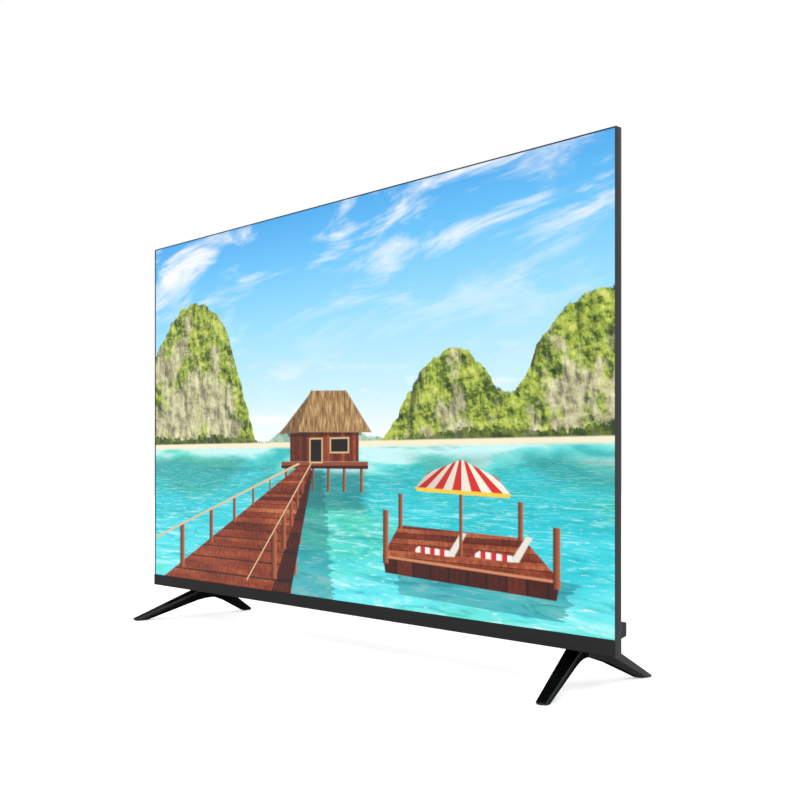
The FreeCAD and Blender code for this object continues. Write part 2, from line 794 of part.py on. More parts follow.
def housingHoles():
    past = humpDepth + 2 * through
    tools = [rodY(x, z, screwR + fit, trayDepth - through, trayDepth + flangeT + 5 * through)
             for x, z in flangeScrews()]
    tools += [rodY(x, z, vesaR + fit, humpDepth - 4 * houseWall, past) for x, z in vesaPlaces()]
    # air slots over the boards, in two rows each side
    crownX = humpHalfW - humpDraft
    for side in (-1, 1):
        for row in range(2):
            z = barZ + slotLow + row * (slotH + slotRowGap)
            for x in slotXs(slotStart, crownX - slotMargin, slotPitch):
                tools.append(box(side * x - slotW / 2, side * x + slotW / 2,
                                 humpDepth - 3 * houseWall, past, z, z + slotH))
    # air slots along the top of the hump
    count = int((crownX - topSlotMargin) / slotPitch)
    for i in range(-count, count + 1):
        x = i * slotPitch
        if abs(i) % topSlotGroup != topSlotGroup - 1:
            tools.append(box(x - slotW / 2, x + slotW / 2, topSlotY0, topSlotY1,
                             barZ + humpTop - humpTopDraft - 6 * houseWall, barZ + humpTop + through))
    # sound slots under the loudspeakers
    for side in (-1, 1):
        for i in range(soundSlots):
            x = side * (speakerX0 + speakerX1) / 2 + (i - (soundSlots - 1) / 2) * soundPitch
            tools.append(box(x - soundW / 2, x + soundW / 2, soundY0, soundY1, barZ, barZ + speakerZ0 - fit))
    # sockets for the feet
    for side in (-1, 1):
        tools.append(blockZ(side * footX, tenonY, tenonW + 2 * fit, tenonD + 2 * fit,
                            barZ, barZ + tenonRise))
    # mouths of the sockets in the two recesses
    roof = barZ + notchTop
    for kind, x, w, d, h in socketList():
        tools.append(box(x - w / 2 - mouthFit, x + w / 2 + mouthFit, boardBack - mouthFit,
                         boardBack + d + mouthFit, roof - through, roof + houseWall + through))
    # mains switch
    hole = rockerShell + fit
    tools.append(blockY(rockerX, barZ + rockerZ, rockerW + 2 * hole, rockerL + 2 * hole,
                        humpDepth - 3 * houseWall, past))
    return tools


def vesaPlaces():
    return [(sx * vesa / 2, vesaMidZ + sz * vesa / 2) for sx in (-1, 1) for sz in (-1, 1)]


def makeVesa():
    end = humpDepth - vesaShy
    studs = []
    for x, z in vesaPlaces():
        studs.append(fuse([
            rodY(x, z, vesaR, trayDepth, end),
            rodY(x, z, vesaR + vesaFlange, trayDepth, trayDepth + vesaFlangeT)]).cut(
                rodY(x, z, vesaHoleR, end - vesaThread, end + through)))
    parts["wall_mount_bosses"] = group(studs)


def frontRise():
    return footH / (frontReach - frontCross)


def rearRise():
    return footH / (rearReach - rearCross)


def archZ(t):
    # underside of the foot, rounded over the apex
    frontSlope = (footH - archDrop) / frontHeel
    rearSlope = (footH - archDrop) / rearHeel
    top = barZ - archDrop
    if t < -archRound:
        return top + frontSlope * t
    if t > archRound:
        return top - rearSlope * t
    a = -frontSlope * archRound
    b = -rearSlope * archRound
    s = (t + archRound) / (2 * archRound)
    return top + a * (1 - s) ** 2 + b * s ** 2


def crownZ(t):
    # top of the foot: two straight arms that meet under the housing
    return min(barZ + frontRise() * (frontCross + t), barZ + rearRise() * (rearCross - t))


def armHalf(t):
    # half the width of the arm's flat top
    reach, tip = (frontReach, frontTipW) if t < 0 else (rearReach, rearTipW)
    share = min(abs(t) / reach, 1.2)
    return (armTopHub + (tip - armTopHub) * share) / 2


def armX(t):
    # middle of the arm, bent outward from the apex
    splay = frontSplay if t < 0 else rearSplay
    return footX + splay * (math.hypot(t, splaySoft) - splaySoft)


def footSection(t):
    # six corners of the arm, cut square to the depth
    half = armHalf(t)
    wide = half + armBevelW
    keel = wide * keelShare
    low = archZ(t)
    high = crownZ(t)
    band = high - min(armBevelH, 0.6 * (high - low))
    x = armX(t)
    return Part.makePolygon([V(x + dx, footY + t, z) for dx, z in (
        (-keel, low), (keel, low), (wide, band), (half, high), (-half, high), (-wide, band), (-keel, low))])


def makeFoot():
    peak = (rearRise() * rearCross - frontRise() * frontCross) / (frontRise() + rearRise())
    stations = [-frontReach, -archRound * 2, -archRound, -archRound / 2, 0.0, peak, archRound,
                archRound * 2, rearReach]
    arms = [Part.makeLoft([footSection(t0), footSection(t1)], True, True)
            for t0, t1 in zip(stations, stations[1:])]
    # neck under the housing and the tongue that goes up into it
    y0 = tenonY - tenonD / 2 - neckMargin
    y1 = tenonY + tenonD / 2 + neckMargin
    neckHalf = tenonW / 2 + neckMargin
    neck = prismX([(y0, barZ - archDrop / 2), (y1, barZ - archDrop / 2), (y1, underside(y1)),
                   (y0, underside(y0))], footX - neckHalf, footX + neckHalf)
    tenonTop = barZ + tenonRise
    tenon = blockZ(footX, tenonY, tenonW, tenonD, barZ - archDrop / 2, tenonTop)
    side = frontReach + rearReach
    floor = box(footX - side, footX + side, footY - side, footY + side, -footH, padT)
    noses = [box(footX - side, footX + side, footY - side, footY - frontReach + tipCut, -footH, footH / 2),
             box(footX - side, footX + side, footY + rearReach - tipCut, footY + side, -footH, footH / 2)]
    body = cut(fuse(arms + [neck, tenon]), [floor] + noses)
    screws = []
    holes = []
    screwYs = (tenonY - footScrewGap / 2, tenonY + footScrewGap / 2)
    seat = barZ - footHeadSink
    for y in screwYs:
        holes.append(rodZ(footX, y, footScrewR + fit, 0, tenonTop + through))
        holes.append(rodZ(footX, y, footHeadR + fit, 0, seat))
        screws.append(fuse([rodZ(footX, y, footScrewR, seat, tenonTop + 2 * bracketT),
                            rodZ(footX, y, footHeadR, seat - footHeadT, seat)]))
    pads = []
    for sign, heel, reach in ((-1, frontHeel, frontReach), (1, rearHeel, rearReach)):
        t0 = sign * (heel + padInset)
        t1 = sign * (reach - tipCut - padInset / 2)
        half = (armHalf(t1) + armBevelW) * keelShare - padMargin
        pad = blockZ(armX((t0 + t1) / 2), footY + (t0 + t1) / 2, 2 * half, abs(t1 - t0), 0, padT + padSink)
        pads.append(pad)
    right = cut(body, holes + pads)
    parts["foot_right"] = right
    parts["foot_left"] = mirrored(right)
    parts["foot_pads"] = group(pads + [mirrored(p) for p in pads])
    parts["foot_screws"] = group(screws + [mirrored(s) for s in screws])
    plateZ = tenonTop + flexT / 2
    half = bracketW / 2
    bracket = fuse([
        box(footX - half, footX + half, frameDepth, frameDepth + bracketT,
            barZ + bracketLow, plateZ + bracketT),
        box(footX - half, footX + half, frameDepth, tenonY + tenonD / 2, plateZ, plateZ + bracketT)])
    bracket = cut(bracket, [rodZ(footX, y, footScrewR + flexT / 4, plateZ - through,
                                 plateZ + bracketT + through) for y in screwYs])
    parts["foot_bracket_right"] = bracket
    parts["foot_bracket_left"] = mirrored(bracket)


def socketList():
    # kind, middle x, width, depth along y and height of each socket, left to right
    total = sum(socketKinds[kind][0] for kind in socketRow) + socketGap * (len(socketRow) - 1)
    x = (signalX0 + signalX1 - total) / 2
    places = []
    for kind in socketRow:
        w, d, h = socketKinds[kind][:3]
        places.append((kind, x + w / 2, w, d, h))
        x += w + socketGap
    places.append(("mains", (mainsX0 + mainsX1) / 2) + socketKinds["mains"][:3])
    return places


def makeSockets():
    mouth = barZ + notchTop - socketProud
    low = mouth - through
    made = {}
    for kind, x, w, d, h in socketList():
        y = boardBack + d / 2
        mouthW, mouthD, reach = socketKinds[kind][3:]
        body = blockZ(x, y, w, d, mouth, mouth + h)
        if kind in ("audio", "tuner"):
            hole = rodZ(x, y, mouthW / 2, low - tunerBarrelL, mouth + reach)
        elif kind == "mains":
            hole = stadium(x, y, mouthW, mouthD, low, mouth + reach)
        elif kind == "network":
            hole = blockZ(x, y - networkShift, mouthW, mouthD, low, mouth + reach)
        else:
            hole = blockZ(x, y, mouthW, mouthD, low, mouth + reach)
        if kind == "tuner":
            collar = blockZ(x, y, w + 2 * through, d + 2 * through, low, mouth + tunerShell)
            barrel = rodZ(x, y, tunerBarrelR, mouth - tunerBarrelL, mouth + tunerShell)
            body = fuse([body.cut(collar), barrel])
        body = body.cut(hole)
        if kind == "network":
            y1 = y - networkShift + mouthD / 2
            body = body.cut(box(x - latchW / 2, x + latchW / 2, y1 - through, y1 + latchD,
                                low, mouth + reach))
        elif kind == "usb":
            body = fuse([body, blockZ(x, y - usbTongueShift, usbTongueW, usbTongueT,
                                      mouth + tongueStart, mouth + h)])
        elif kind == "hdmi":
            body = fuse([body, blockZ(x, y, hdmiTongueW, hdmiTongueT, mouth + tongueStart, mouth + h)])
        elif kind == "mains":
            pins = [rodZ(x + side * pinGap / 2, y, pinR, mouth + pinStart, mouth + h) for side in (-1, 1)]
            body = fuse([body] + pins)
        made.setdefault(kind, []).append(body)
    names = {"tuner": "tuner_socket", "network": "network_socket", "usb": "usb_sockets",
             "hdmi": "hdmi_sockets", "optical": "optical_socket", "audio": "audio_jacks",
             "mains": "mains_inlet"}
    for kind, shapes in made.items():
        parts[names[kind]] = group(shapes) if len(shapes) > 1 else shapes[0]


def makeBoard(x0, x1, z0, z1, screws):
    board = box(x0, x1, boardY, boardBack, z0, z1)
    return cut(board, [rodY(x, z, screwR + fit, boardY - through, boardBack + through) for x, z in screws])


def boardCorners(x0, x1, z0, z1, low):
    return [(x, z) for x in (x0 + holeInset, x1 - holeInset) for z in (z0 + low, z1 - holeInset)]


def makeBoards():
    mainBox = (signalX0 - mainBoardOver, signalX1 + boardRise, boardLow, boardLow + mainBoardH)
    powerBox = (powerX0, powerX1, boardLow, boardLow + powerBoardH)
    timingBox = (-timingHalfW, timingHalfW, timingZ0, timingZ0 + timingH)
    mainHoles = boardCorners(*mainBox, holeLow)
    powerHoles = boardCorners(*powerBox, holeLow)
    timingHoles = boardCorners(*timingBox, holeInset)
    parts["main_board"] = makeBoard(*mainBox, mainHoles)
    parts["power_board"] = makeBoard(*powerBox, powerHoles)
    parts["timing_board"] = makeBoard(*timingBox, timingHoles)
    posts = []
    screws = []
    for x, z in mainHoles + powerHoles + timingHoles:
        posts.append(rodY(x, z, standoffR, trayDepth, boardY).cut(
            rodY(x, z, screwR + filmT / 2, boardY - threadDepth - filmGap, boardY + through)))
        screws.append(fuse([rodY(x, z, screwR, boardY - threadDepth, boardBack),
                            rodY(x, z, boardHeadR, boardBack, boardBack + screwHeadT)]))
    parts["board_standoffs"] = group(posts)
    parts["board_screws"] = group(screws)
    makeMainParts(mainBox)
    makeTimingParts(timingBox)
    makePowerParts()


def makeMainParts(mainBox):
    # processor under a finned heat sink, memory, regulators, small cans and plugs
    x = (mainBox[0] + mainBox[1]) / 2
    z = boardLow + processorZ
    low = z - processorW * 1.3
    chips = [blockY(x, z, processorW, processorW, boardBack, boardBack + processorT)]
    for i in range(3):
        chips.append(blockY(x + memoryX + memoryPitch * i, z, memoryW, memoryH,
                            boardBack, boardBack + memoryT))
    for i in range(4):
        chips.append(blockY(x - processorW * 2.4 + regulatorPitch * i, low, regulatorW, regulatorW,
                            boardBack, boardBack + regulatorT))
        chips.append(rodY(x + processorW * 1.1 + regulatorPitch * i, low, smallCanR,
                          boardBack, boardBack + smallCanH))
    plugZ = mainBox[3] - 2.5 * plugH
    for plugX in (mainBox[0] + 1.2 * plugL, mainBox[1] - 1.2 * plugL):
        chips.append(blockY(plugX, plugZ, plugL, plugH, boardBack, boardBack + plugT))
    parts["main_board_parts"] = group(chips)
    base = boardBack + processorT
    fins = [box(x - sinkW / 2 + finPitch * i, x - sinkW / 2 + finPitch * i + finT, base + sinkBaseT,
                base + sinkBaseT + finH, z - sinkW / 2, z + sinkW / 2) for i in range(finCount)]
    parts["heat_sink"] = fuse([blockY(x, z, sinkW, sinkW, base, base + sinkBaseT)] + fins)


def makeTimingParts(timingBox):
    # driver chip and ribbon plugs
    z = (timingBox[2] + timingBox[3]) / 2
    plugZ = timingBox[2] + ribbonPlugLow + ribbonPlugH / 2
    plugs = [blockY(side * ribbonX, plugZ, ribbonPlugW, ribbonPlugH, boardBack, boardBack + ribbonPlugT)
             for side in (-1, 1)]
    chip = blockY(0, z, processorW * 0.6, processorW * 0.6, boardBack, boardBack + memoryT)
    parts["timing_board_parts"] = group([chip] + plugs)
    lane = ribbonLane
    pinY = boardBack + ribbonPlugT / 2
    low = timingBox[2]
    line = [(driveBoardY + driveBoardT, barZ + ribbonZ), (frameDepth + 4, barZ + ribbonZ),
            (frameDepth + 6, barZ + 21), (lane, barZ + 44), (lane, low - 10), (pinY, low - 4),
            (pinY, low + ribbonPlugLow)]
    half = ribbonT / 2
    ribbons = []
    for side in (-1, 1):
        x0 = side * ribbonX - ribbonW / 2
        pieces = []
        for (y0, z0), (y1, z1) in zip(line, line[1:]):
            d = math.hypot(y1 - y0, z1 - z0)
            ny, nz = -(z1 - z0) / d * half, (y1 - y0) / d * half
            pieces.append(prismX([(y0 + ny, z0 + nz), (y1 + ny, z1 + nz), (y1 - ny, z1 - nz),
                                  (y0 - ny, z0 - nz)], x0, x0 + ribbonW))
            pieces.append(rodX(y1, z1, half, x0, x0 + ribbonW))
        ribbons.append(fuse(pieces[:-1]))
    parts["ribbon_cables"] = group(ribbons)


def makePowerParts():
    # transformers and choke, reservoir capacitors and a cooled switch
    x = (powerX0 + powerX1) / 2
    z = boardLow
    cores = []
    for dx, dz, size in transformerPlaces:
        cores.append(fuse([
            blockY(x + dx, z + dz, size, size * transformerShape, boardBack, boardBack + coreD),
            blockY(x + dx, z + dz, size + 2 * coilOver, size * coilShape, boardBack + (coreD - coilD) / 2,
                   boardBack + (coreD + coilD) / 2)]))
    chokeY = boardBack + chokeWireR + flexT / 2
    cores.append(Part.makeTorus(chokeR, chokeWireR, V(x + chokeX, chokeY, z + chokeZ), Vector(0, 1, 0)))
    parts["transformers"] = group(cores)
    cans = []
    for dx, dz, r, h in canPlaces:
        can = rodY(x + dx, z + dz, r, boardBack, boardBack + h)
        cans.append(roundEdges(can, canRound, lambda e: (
            isinstance(e.Curve, Part.Circle) and e.CenterOfMass.y > frontY + boardBack + through)))
    parts["capacitors"] = group(cans)
    plateX = x + switchSinkX
    plate = box(plateX, plateX + switchSinkT, boardBack, boardBack + switchSinkD,
                z + switchSinkLow, z + switchSinkHigh)
    pitch = (switchSinkHigh - switchSinkLow) / 5.5
    ribs = [box(plateX + switchSinkT, plateX + switchSinkT + switchSinkRib, boardBack + sinkBaseT,
                boardBack + switchSinkD, z + switchSinkLow + pitch * (i + 0.3),
                z + switchSinkLow + pitch * (i + 0.3) + processorT) for i in range(5)]
    parts["switch_heat_sink"] = fuse([plate] + ribs)


def makeRadio():
    # wireless module standing on the tray's back with its shield can
    z = barZ + radioZ
    y = trayDepth + radioLift
    top = y + ribbonPlugT / 2
    parts["radio_module"] = fuse([
        box(radioX0, radioX1, y, top, z, z + radioH),
        box(radioX0 + 2 * radioCanT, radioX1 - 2 * radioCanT, top, top + radioCanT,
            z + 2 * radioCanT, z + radioH - 2 * radioCanT),
        rodY(radioX0 + 2 * radioPegR, z + 2 * radioPegR, radioPegR, trayDepth, y),
        rodY(radioX1 - 2 * radioPegR, z + radioH - 2 * radioPegR, radioPegR, trayDepth, y)])


def makeSpeaker():
    w = speakerWall
    z0 = barZ + speakerZ0
    z1 = barZ + baseTop - houseWall - fit
    x = (speakerX0 + speakerX1) / 2
    y = (speakerY0 + speakerY1) / 2
    seat = z0 + w

    def oval(inset, low, high):
        return stadium(x, y, driverL - inset, driverW - inset, low, high)

    case = box(speakerX0, speakerX1, speakerY0, speakerY1, z0, z1).cut(
        box(speakerX0 + w, speakerX1 - w, speakerY0 + w, speakerY1 - w, seat, z1 - w))
    case = case.cut(oval(2 * frameRingW + frameWallT, z0 - through, seat + frameRingT / 2))
    wallTop = seat + frameRingT + frameWallH
    yokeTop = wallTop + yokeT
    frame = fuse([
        oval(0, seat, seat + frameRingT).cut(oval(2 * frameRingW, seat - through, seat + through)),
        oval(0, seat + frameRingT, wallTop).cut(oval(2 * frameWallT, seat, wallTop + through)),
        oval(0, wallTop, yokeTop).cut(
            stadium(x, y, driverL - 2 * windowDrop, yokeW, seat, yokeTop + through)),
        rodZ(x, y, magnetR, yokeTop, z1 - w - fit),
        blockZ(x, y, 2 * magnetR - 2 * frameWallT, yokeW + sinkBaseT, wallTop, yokeTop)])
    coneZ = seat + coneLift
    cone = oval(2 * coneInset, coneZ, coneZ + coneT)
    surround = oval(2 * surroundInset, coneZ, coneZ + surroundT).cut(
        oval(2 * coneInset - flexT, coneZ - through, coneZ + through))
    for name, shape in (("speaker_box", case), ("speaker_frame", frame), ("speaker_cone", cone),
                        ("speaker_surround", surround)):
        parts[name + "_right"] = shape
        parts[name + "_left"] = mirrored(shape)


def makeRocker():
    # snap-in switch through the housing's back, off with its lower half out
    z = barZ + rockerZ
    back = humpDepth
    well = blockY(rockerX, z, rockerW + 2 * fit, rockerL + 2 * fit, back - wellD, back + 2 * rockerFlangeT)
    pinY = back - pinDeep
    pinX = rockerW / 2 + journalL
    journal = rodX(pinY, z, pinRockerR + pinFit, rockerX - pinX, rockerX + pinX)
    bodyBack = back - rockerBodyD
    blades = [blockY(rockerX, z + i * bladePitch, bladeW, bladeT, bodyBack - bladeL, bodyBack)
              for i in (-1, 0, 1)]
    body = fuse([
        blockY(rockerX, z, rockerW + 2 * rockerShell, rockerL + 2 * rockerShell, bodyBack, back),
        blockY(rockerX, z, rockerW + 2 * rockerFlange, rockerL + 2 * rockerFlange,
               back, back + rockerFlangeT)])
    parts["rocker_body"] = fuse([body.cut(well).cut(journal)] + blades)
    reach = rockerL / 2 - filmGap
    lift = reach * math.tan(math.radians(rockerTilt / 2))
    face = back + rockerProud
    deep = pinY - pinRockerR / 1.5
    profile = [(face - lift, z + reach), (face, z), (face - lift, z - reach), (deep, z - reach * 0.7),
               (pinY - 2.1 * pinRockerR, z), (deep, z + reach * 0.7)]
    paddle = prismX(profile, rockerX - rockerW / 2, rockerX + rockerW / 2)
    pinEnd = pinX - journalL / 10
    rocker = fuse([paddle, rodX(pinY, z, pinRockerR, rockerX - pinEnd, rockerX + pinEnd)])
    rocker.rotate(V(rockerX, pinY, z), Vector(1, 0, 0), -rockerTilt / 2)
    parts["rocker"] = rocker


def makeLeads():
    # wires held inside the housing; their points were chosen by hand
    r = leadR
    lane = leadLane
    z = barZ + 19.0
    left = [(-speakerX0 + 0.1, 29, z), (-speakerX0 + 9, 29, z), (-speakerX0 + 16, lane, z + 14),
            (-266, lane, z + 42), (-262, lane, z + 72), (-262, lane, z + 94), (-262, boardY, z + 94)]
    right = [(speakerX0 - 0.1, 29, z), (speakerX0 - 9, 29, z), (speakerX0 - 24, lane, z + 12),
             (222, lane, z + 40), (176, lane, z + 62), (122, lane, z + 70), (64, lane, z + 62),
             (8, lane, z + 54), (-40, lane, z + 62), (-88, lane, z + 98), (-106, lane, z + 122),
             (-132, lane, z + 138), (-150, lane, z + 140), (-150, boardY, z + 140)]
    parts["speaker_leads"] = group([tube(left, r), tube(right, r)])
    x, z = feedPlace()
    parts["backlight_lead"] = tube([(x, floorY, z), (x, lane, z), (x + 14, lane, z + 8),
                                    (x + 14, boardY, z + 8)], r)
    x = mainsX1 + 12
    z = barZ + rockerZ
    top = barZ + notchTop + houseWall
    bladeEnd = humpDepth - rockerBodyD - bladeL
    parts["mains_leads"] = group([
        tube([(rockerX, bladeEnd, z + dz), (rockerX, bladeEnd - bladePitch, z + dz),
              (rockerX - 16 - dz, boardBack + 6, z + 16), (x + dz, boardBack + 6, top - 4),
              (x + dz, boardBack + 6, top + 14 + dz), (x + dz, boardBack, top + 14 + dz)], r)
        for dz in (-bladePitch, bladePitch)])


def main():
    makeTrims()
    makeBottomBar()
    makeKeyAndWindow()
    makePanel()
    makeTray()
    makeBacklight()
    makeHousing()
    makeVesa()
    makeFoot()
    makeSockets()
    makeBoards()
    makeRadio()
    makeSpeaker()
    makeRocker()
    makeLeads()
    os.makedirs("parts", exist_ok=True)
    for name, shape in parts.items():
        solids = shape.Solids
        volume = sum(s.Volume for s in solids)
        if not solids or volume <= 0 or not shape.isValid():
            print("CHECK", name, len(solids), round(volume, 2), shape.isValid())
        shape.exportStep("parts/" + name + ".step")
    print(len(parts), "pieces written")


main()
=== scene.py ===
import json
import math
import bmesh
import bpy
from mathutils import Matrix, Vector

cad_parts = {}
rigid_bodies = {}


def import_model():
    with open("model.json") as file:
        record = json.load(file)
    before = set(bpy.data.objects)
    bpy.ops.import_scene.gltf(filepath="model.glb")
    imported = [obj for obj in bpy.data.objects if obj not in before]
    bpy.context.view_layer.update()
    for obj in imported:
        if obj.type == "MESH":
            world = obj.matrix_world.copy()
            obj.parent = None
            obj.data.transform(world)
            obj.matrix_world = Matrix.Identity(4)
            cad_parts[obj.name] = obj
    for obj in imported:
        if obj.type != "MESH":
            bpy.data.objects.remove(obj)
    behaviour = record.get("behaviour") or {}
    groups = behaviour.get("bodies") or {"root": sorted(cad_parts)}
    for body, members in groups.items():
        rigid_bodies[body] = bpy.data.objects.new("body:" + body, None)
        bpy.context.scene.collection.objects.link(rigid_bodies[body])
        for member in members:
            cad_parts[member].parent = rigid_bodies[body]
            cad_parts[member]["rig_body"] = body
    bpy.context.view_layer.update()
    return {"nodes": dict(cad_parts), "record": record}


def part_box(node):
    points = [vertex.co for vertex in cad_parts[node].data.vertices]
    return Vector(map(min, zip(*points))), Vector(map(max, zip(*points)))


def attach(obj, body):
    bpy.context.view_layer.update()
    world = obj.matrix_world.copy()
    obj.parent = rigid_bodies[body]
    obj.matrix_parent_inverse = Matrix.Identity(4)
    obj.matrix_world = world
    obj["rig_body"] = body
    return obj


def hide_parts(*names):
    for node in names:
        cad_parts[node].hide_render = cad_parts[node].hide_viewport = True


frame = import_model()
nodes = frame["nodes"]
mm = 0.001
print("frame loaded,", len(nodes), "pieces")


# Node tools

def tone(red, green, blue):
    # a colour as it is read off a screen, 0 to 255, made linear
    def linear(value):
        share = value / 255
        return share / 12.92 if share <= 0.04045 else ((share + 0.055) / 1.055) ** 2.4
    return (linear(red), linear(green), linear(blue), 1.0)


def addNode(tree, kind, **values):
    node = tree.nodes.new(kind)
    for key, value in values.items():
        setattr(node, key, value)
    return node


def feed(tree, value, socket):
    if isinstance(value, bpy.types.NodeSocket):
        tree.links.new(value, socket)
    else:
        socket.default_value = value


def calc(tree, operation, *values):
    node = addNode(tree, "ShaderNodeMath", operation=operation)
    for i, value in enumerate(values):
        feed(tree, value, node.inputs[i])
    return node.outputs[0]


def ramp(tree, value, low, high, fromStart=0.0, fromEnd=1.0, smooth=False):
    # value carried from fromStart..fromEnd to low..high, clamped
    node = addNode(tree, "ShaderNodeMapRange")
    if smooth:
        node.interpolation_type = "SMOOTHSTEP"
    for i, item in enumerate((value, fromStart, fromEnd, low, high)):
        feed(tree, item, node.inputs[i])
    return node.outputs[0]


def colourRamp(tree, value, stops):
    node = addNode(tree, "ShaderNodeValToRGB")
    elements = node.color_ramp.elements
    while len(elements) < len(stops):
        elements.new(0.5)
    for element, (place, colour) in zip(elements, stops):
        element.position = place
        element.color = colour
    tree.links.new(value, node.inputs[0])
    return node.outputs[0]


def mixColour(tree, factor, first, second):
    node = addNode(tree, "ShaderNodeMix", data_type="RGBA")
    feed(tree, factor, node.inputs[0])
    feed(tree, first, node.inputs[6])
    feed(tree, second, node.inputs[7])
    return node.outputs[2]


def vectorOf(tree, x, y, z=0.0):
    node = addNode(tree, "ShaderNodeCombineXYZ")
    for i, value in enumerate((x, y, z)):
        feed(tree, value, node.inputs[i])
    return node.outputs[0]


def noise(tree, vector, scale, detail=4.0, rough=0.5, distortion=0.0):
    node = addNode(tree, "ShaderNodeTexNoise")
    tree.links.new(vector, node.inputs["Vector"])
    node.inputs["Scale"].default_value = scale
    node.inputs["Detail"].default_value = detail
    node.inputs["Roughness"].default_value = rough
    node.inputs["Distortion"].default_value = distortion
    return node.outputs[0]


def objectPlace(tree):
    return addNode(tree, "ShaderNodeTexCoord").outputs["Object"]


def newGroup(name, takes, gives):
    tree = bpy.data.node_groups.new(name, "ShaderNodeTree")
    for label, kind, value in takes:
        socket = tree.interface.new_socket(label, in_out="INPUT", socket_type=kind)
        socket.default_value = value
    for label, kind in gives:
        tree.interface.new_socket(label, in_out="OUTPUT", socket_type=kind)
    return tree, addNode(tree, "NodeGroupInput"), addNode(tree, "NodeGroupOutput")


def useGroup(tree, name, **values):
    node = addNode(tree, "ShaderNodeGroup", node_tree=bpy.data.node_groups[name])
    for key, value in values.items():
        feed(tree, value, node.inputs[key])
    return node


# Surface effects that several materials share

number = "NodeSocketFloat"


def makeGrainGroup():
    # moulded or etched grain: fine height with a slow change of gloss
    tree, takes, gives = newGroup(
        "mouldedGrain", [("Scale", number, 1500.0), ("Gloss", number, 0.5), ("Spread", number, 0.08)],
        [("Roughness", number), ("Height", number)])
    place = objectPlace(tree)
    fine = addNode(tree, "ShaderNodeTexNoise")
    tree.links.new(place, fine.inputs["Vector"])
    tree.links.new(takes.outputs["Scale"], fine.inputs["Scale"])
    fine.inputs["Detail"].default_value = 2.0
    slow = noise(tree, place, 14.0, 3.0)
    shift = calc(tree, "MULTIPLY", calc(tree, "SUBTRACT", slow, 0.5), takes.outputs["Spread"])
    tree.links.new(calc(tree, "ADD", takes.outputs["Gloss"], shift), gives.inputs["Roughness"])
    tree.links.new(fine.outputs[0], gives.inputs["Height"])


def makeToneGroup():
    # a colour that drifts a little over the surface
    tree, takes, gives = newGroup(
        "toneDrift", [("Tone", "NodeSocketColor", (0.1, 0.1, 0.1, 1)), ("Amount", number, 0.1),
                      ("Scale", number, 30.0)],
        [("Color", "NodeSocketColor")])
    drift = addNode(tree, "ShaderNodeTexNoise")
    tree.links.new(objectPlace(tree), drift.inputs["Vector"])
    tree.links.new(takes.outputs["Scale"], drift.inputs["Scale"])
    drift.inputs["Detail"].default_value = 4.0
    middle = calc(tree, "SUBTRACT", drift.outputs[0], 0.5)
    share = calc(tree, "MULTIPLY_ADD", middle, takes.outputs["Amount"], 1.0)
    scaled = addNode(tree, "ShaderNodeVectorMath", operation="SCALE")
    tree.links.new(takes.outputs["Tone"], scaled.inputs[0])
    tree.links.new(share, scaled.inputs["Scale"])
    tree.links.new(scaled.outputs[0], gives.inputs["Color"])


def makeBrushGroup():
    # drawn lines along one direction, for rolled and brushed metal
    tree, takes, gives = newGroup(
        "drawnLines", [("Along", "NodeSocketVector", (20.0, 900.0, 900.0)), ("Gloss", number, 0.35),
                       ("Spread", number, 0.2)],
        [("Roughness", number), ("Height", number)])
    stretched = addNode(tree, "ShaderNodeVectorMath", operation="MULTIPLY")
    tree.links.new(objectPlace(tree), stretched.inputs[0])
    tree.links.new(takes.outputs["Along"], stretched.inputs[1])
    lines = noise(tree, stretched.outputs[0], 1.0, 3.0)
    shift = calc(tree, "MULTIPLY", calc(tree, "SUBTRACT", lines, 0.5), takes.outputs["Spread"])
    tree.links.new(calc(tree, "ADD", takes.outputs["Gloss"], shift), gives.inputs["Roughness"])
    tree.links.new(lines, gives.inputs["Height"])


makeGrainGroup()
makeToneGroup()
makeBrushGroup()
print("surface effects ready")


# Finishes, one for each slot of the record

def makeFinish(name, colour, rough, metal=0.0, specular=0.5, grain=1500.0, depth=0.00002,
               drift=0.08, driftScale=30.0, spread=0.08, along=None):
    # grain and along set how fine the pattern is, depth how deep it is in metres
    mat = bpy.data.materials.new(name)
    mat.use_nodes = True
    tree = mat.node_tree
    shader = tree.nodes["Principled BSDF"]
    shader.inputs["Metallic"].default_value = metal
    shader.inputs["Specular IOR Level"].default_value = specular
    painted = useGroup(tree, "toneDrift", Tone=tone(*colour), Amount=drift, Scale=driftScale)
    tree.links.new(painted.outputs["Color"], shader.inputs["Base Color"])
    if along:
        texture = useGroup(tree, "drawnLines", Along=along, Gloss=rough, Spread=spread)
    else:
        texture = useGroup(tree, "mouldedGrain", Scale=grain, Gloss=rough, Spread=spread)
    tree.links.new(texture.outputs["Roughness"], shader.inputs["Roughness"])
    bump = addNode(tree, "ShaderNodeBump")
    bump.inputs["Distance"].default_value = depth
    tree.links.new(texture.outputs["Height"], bump.inputs["Height"])
    tree.links.new(bump.outputs[0], shader.inputs["Normal"])
    return mat


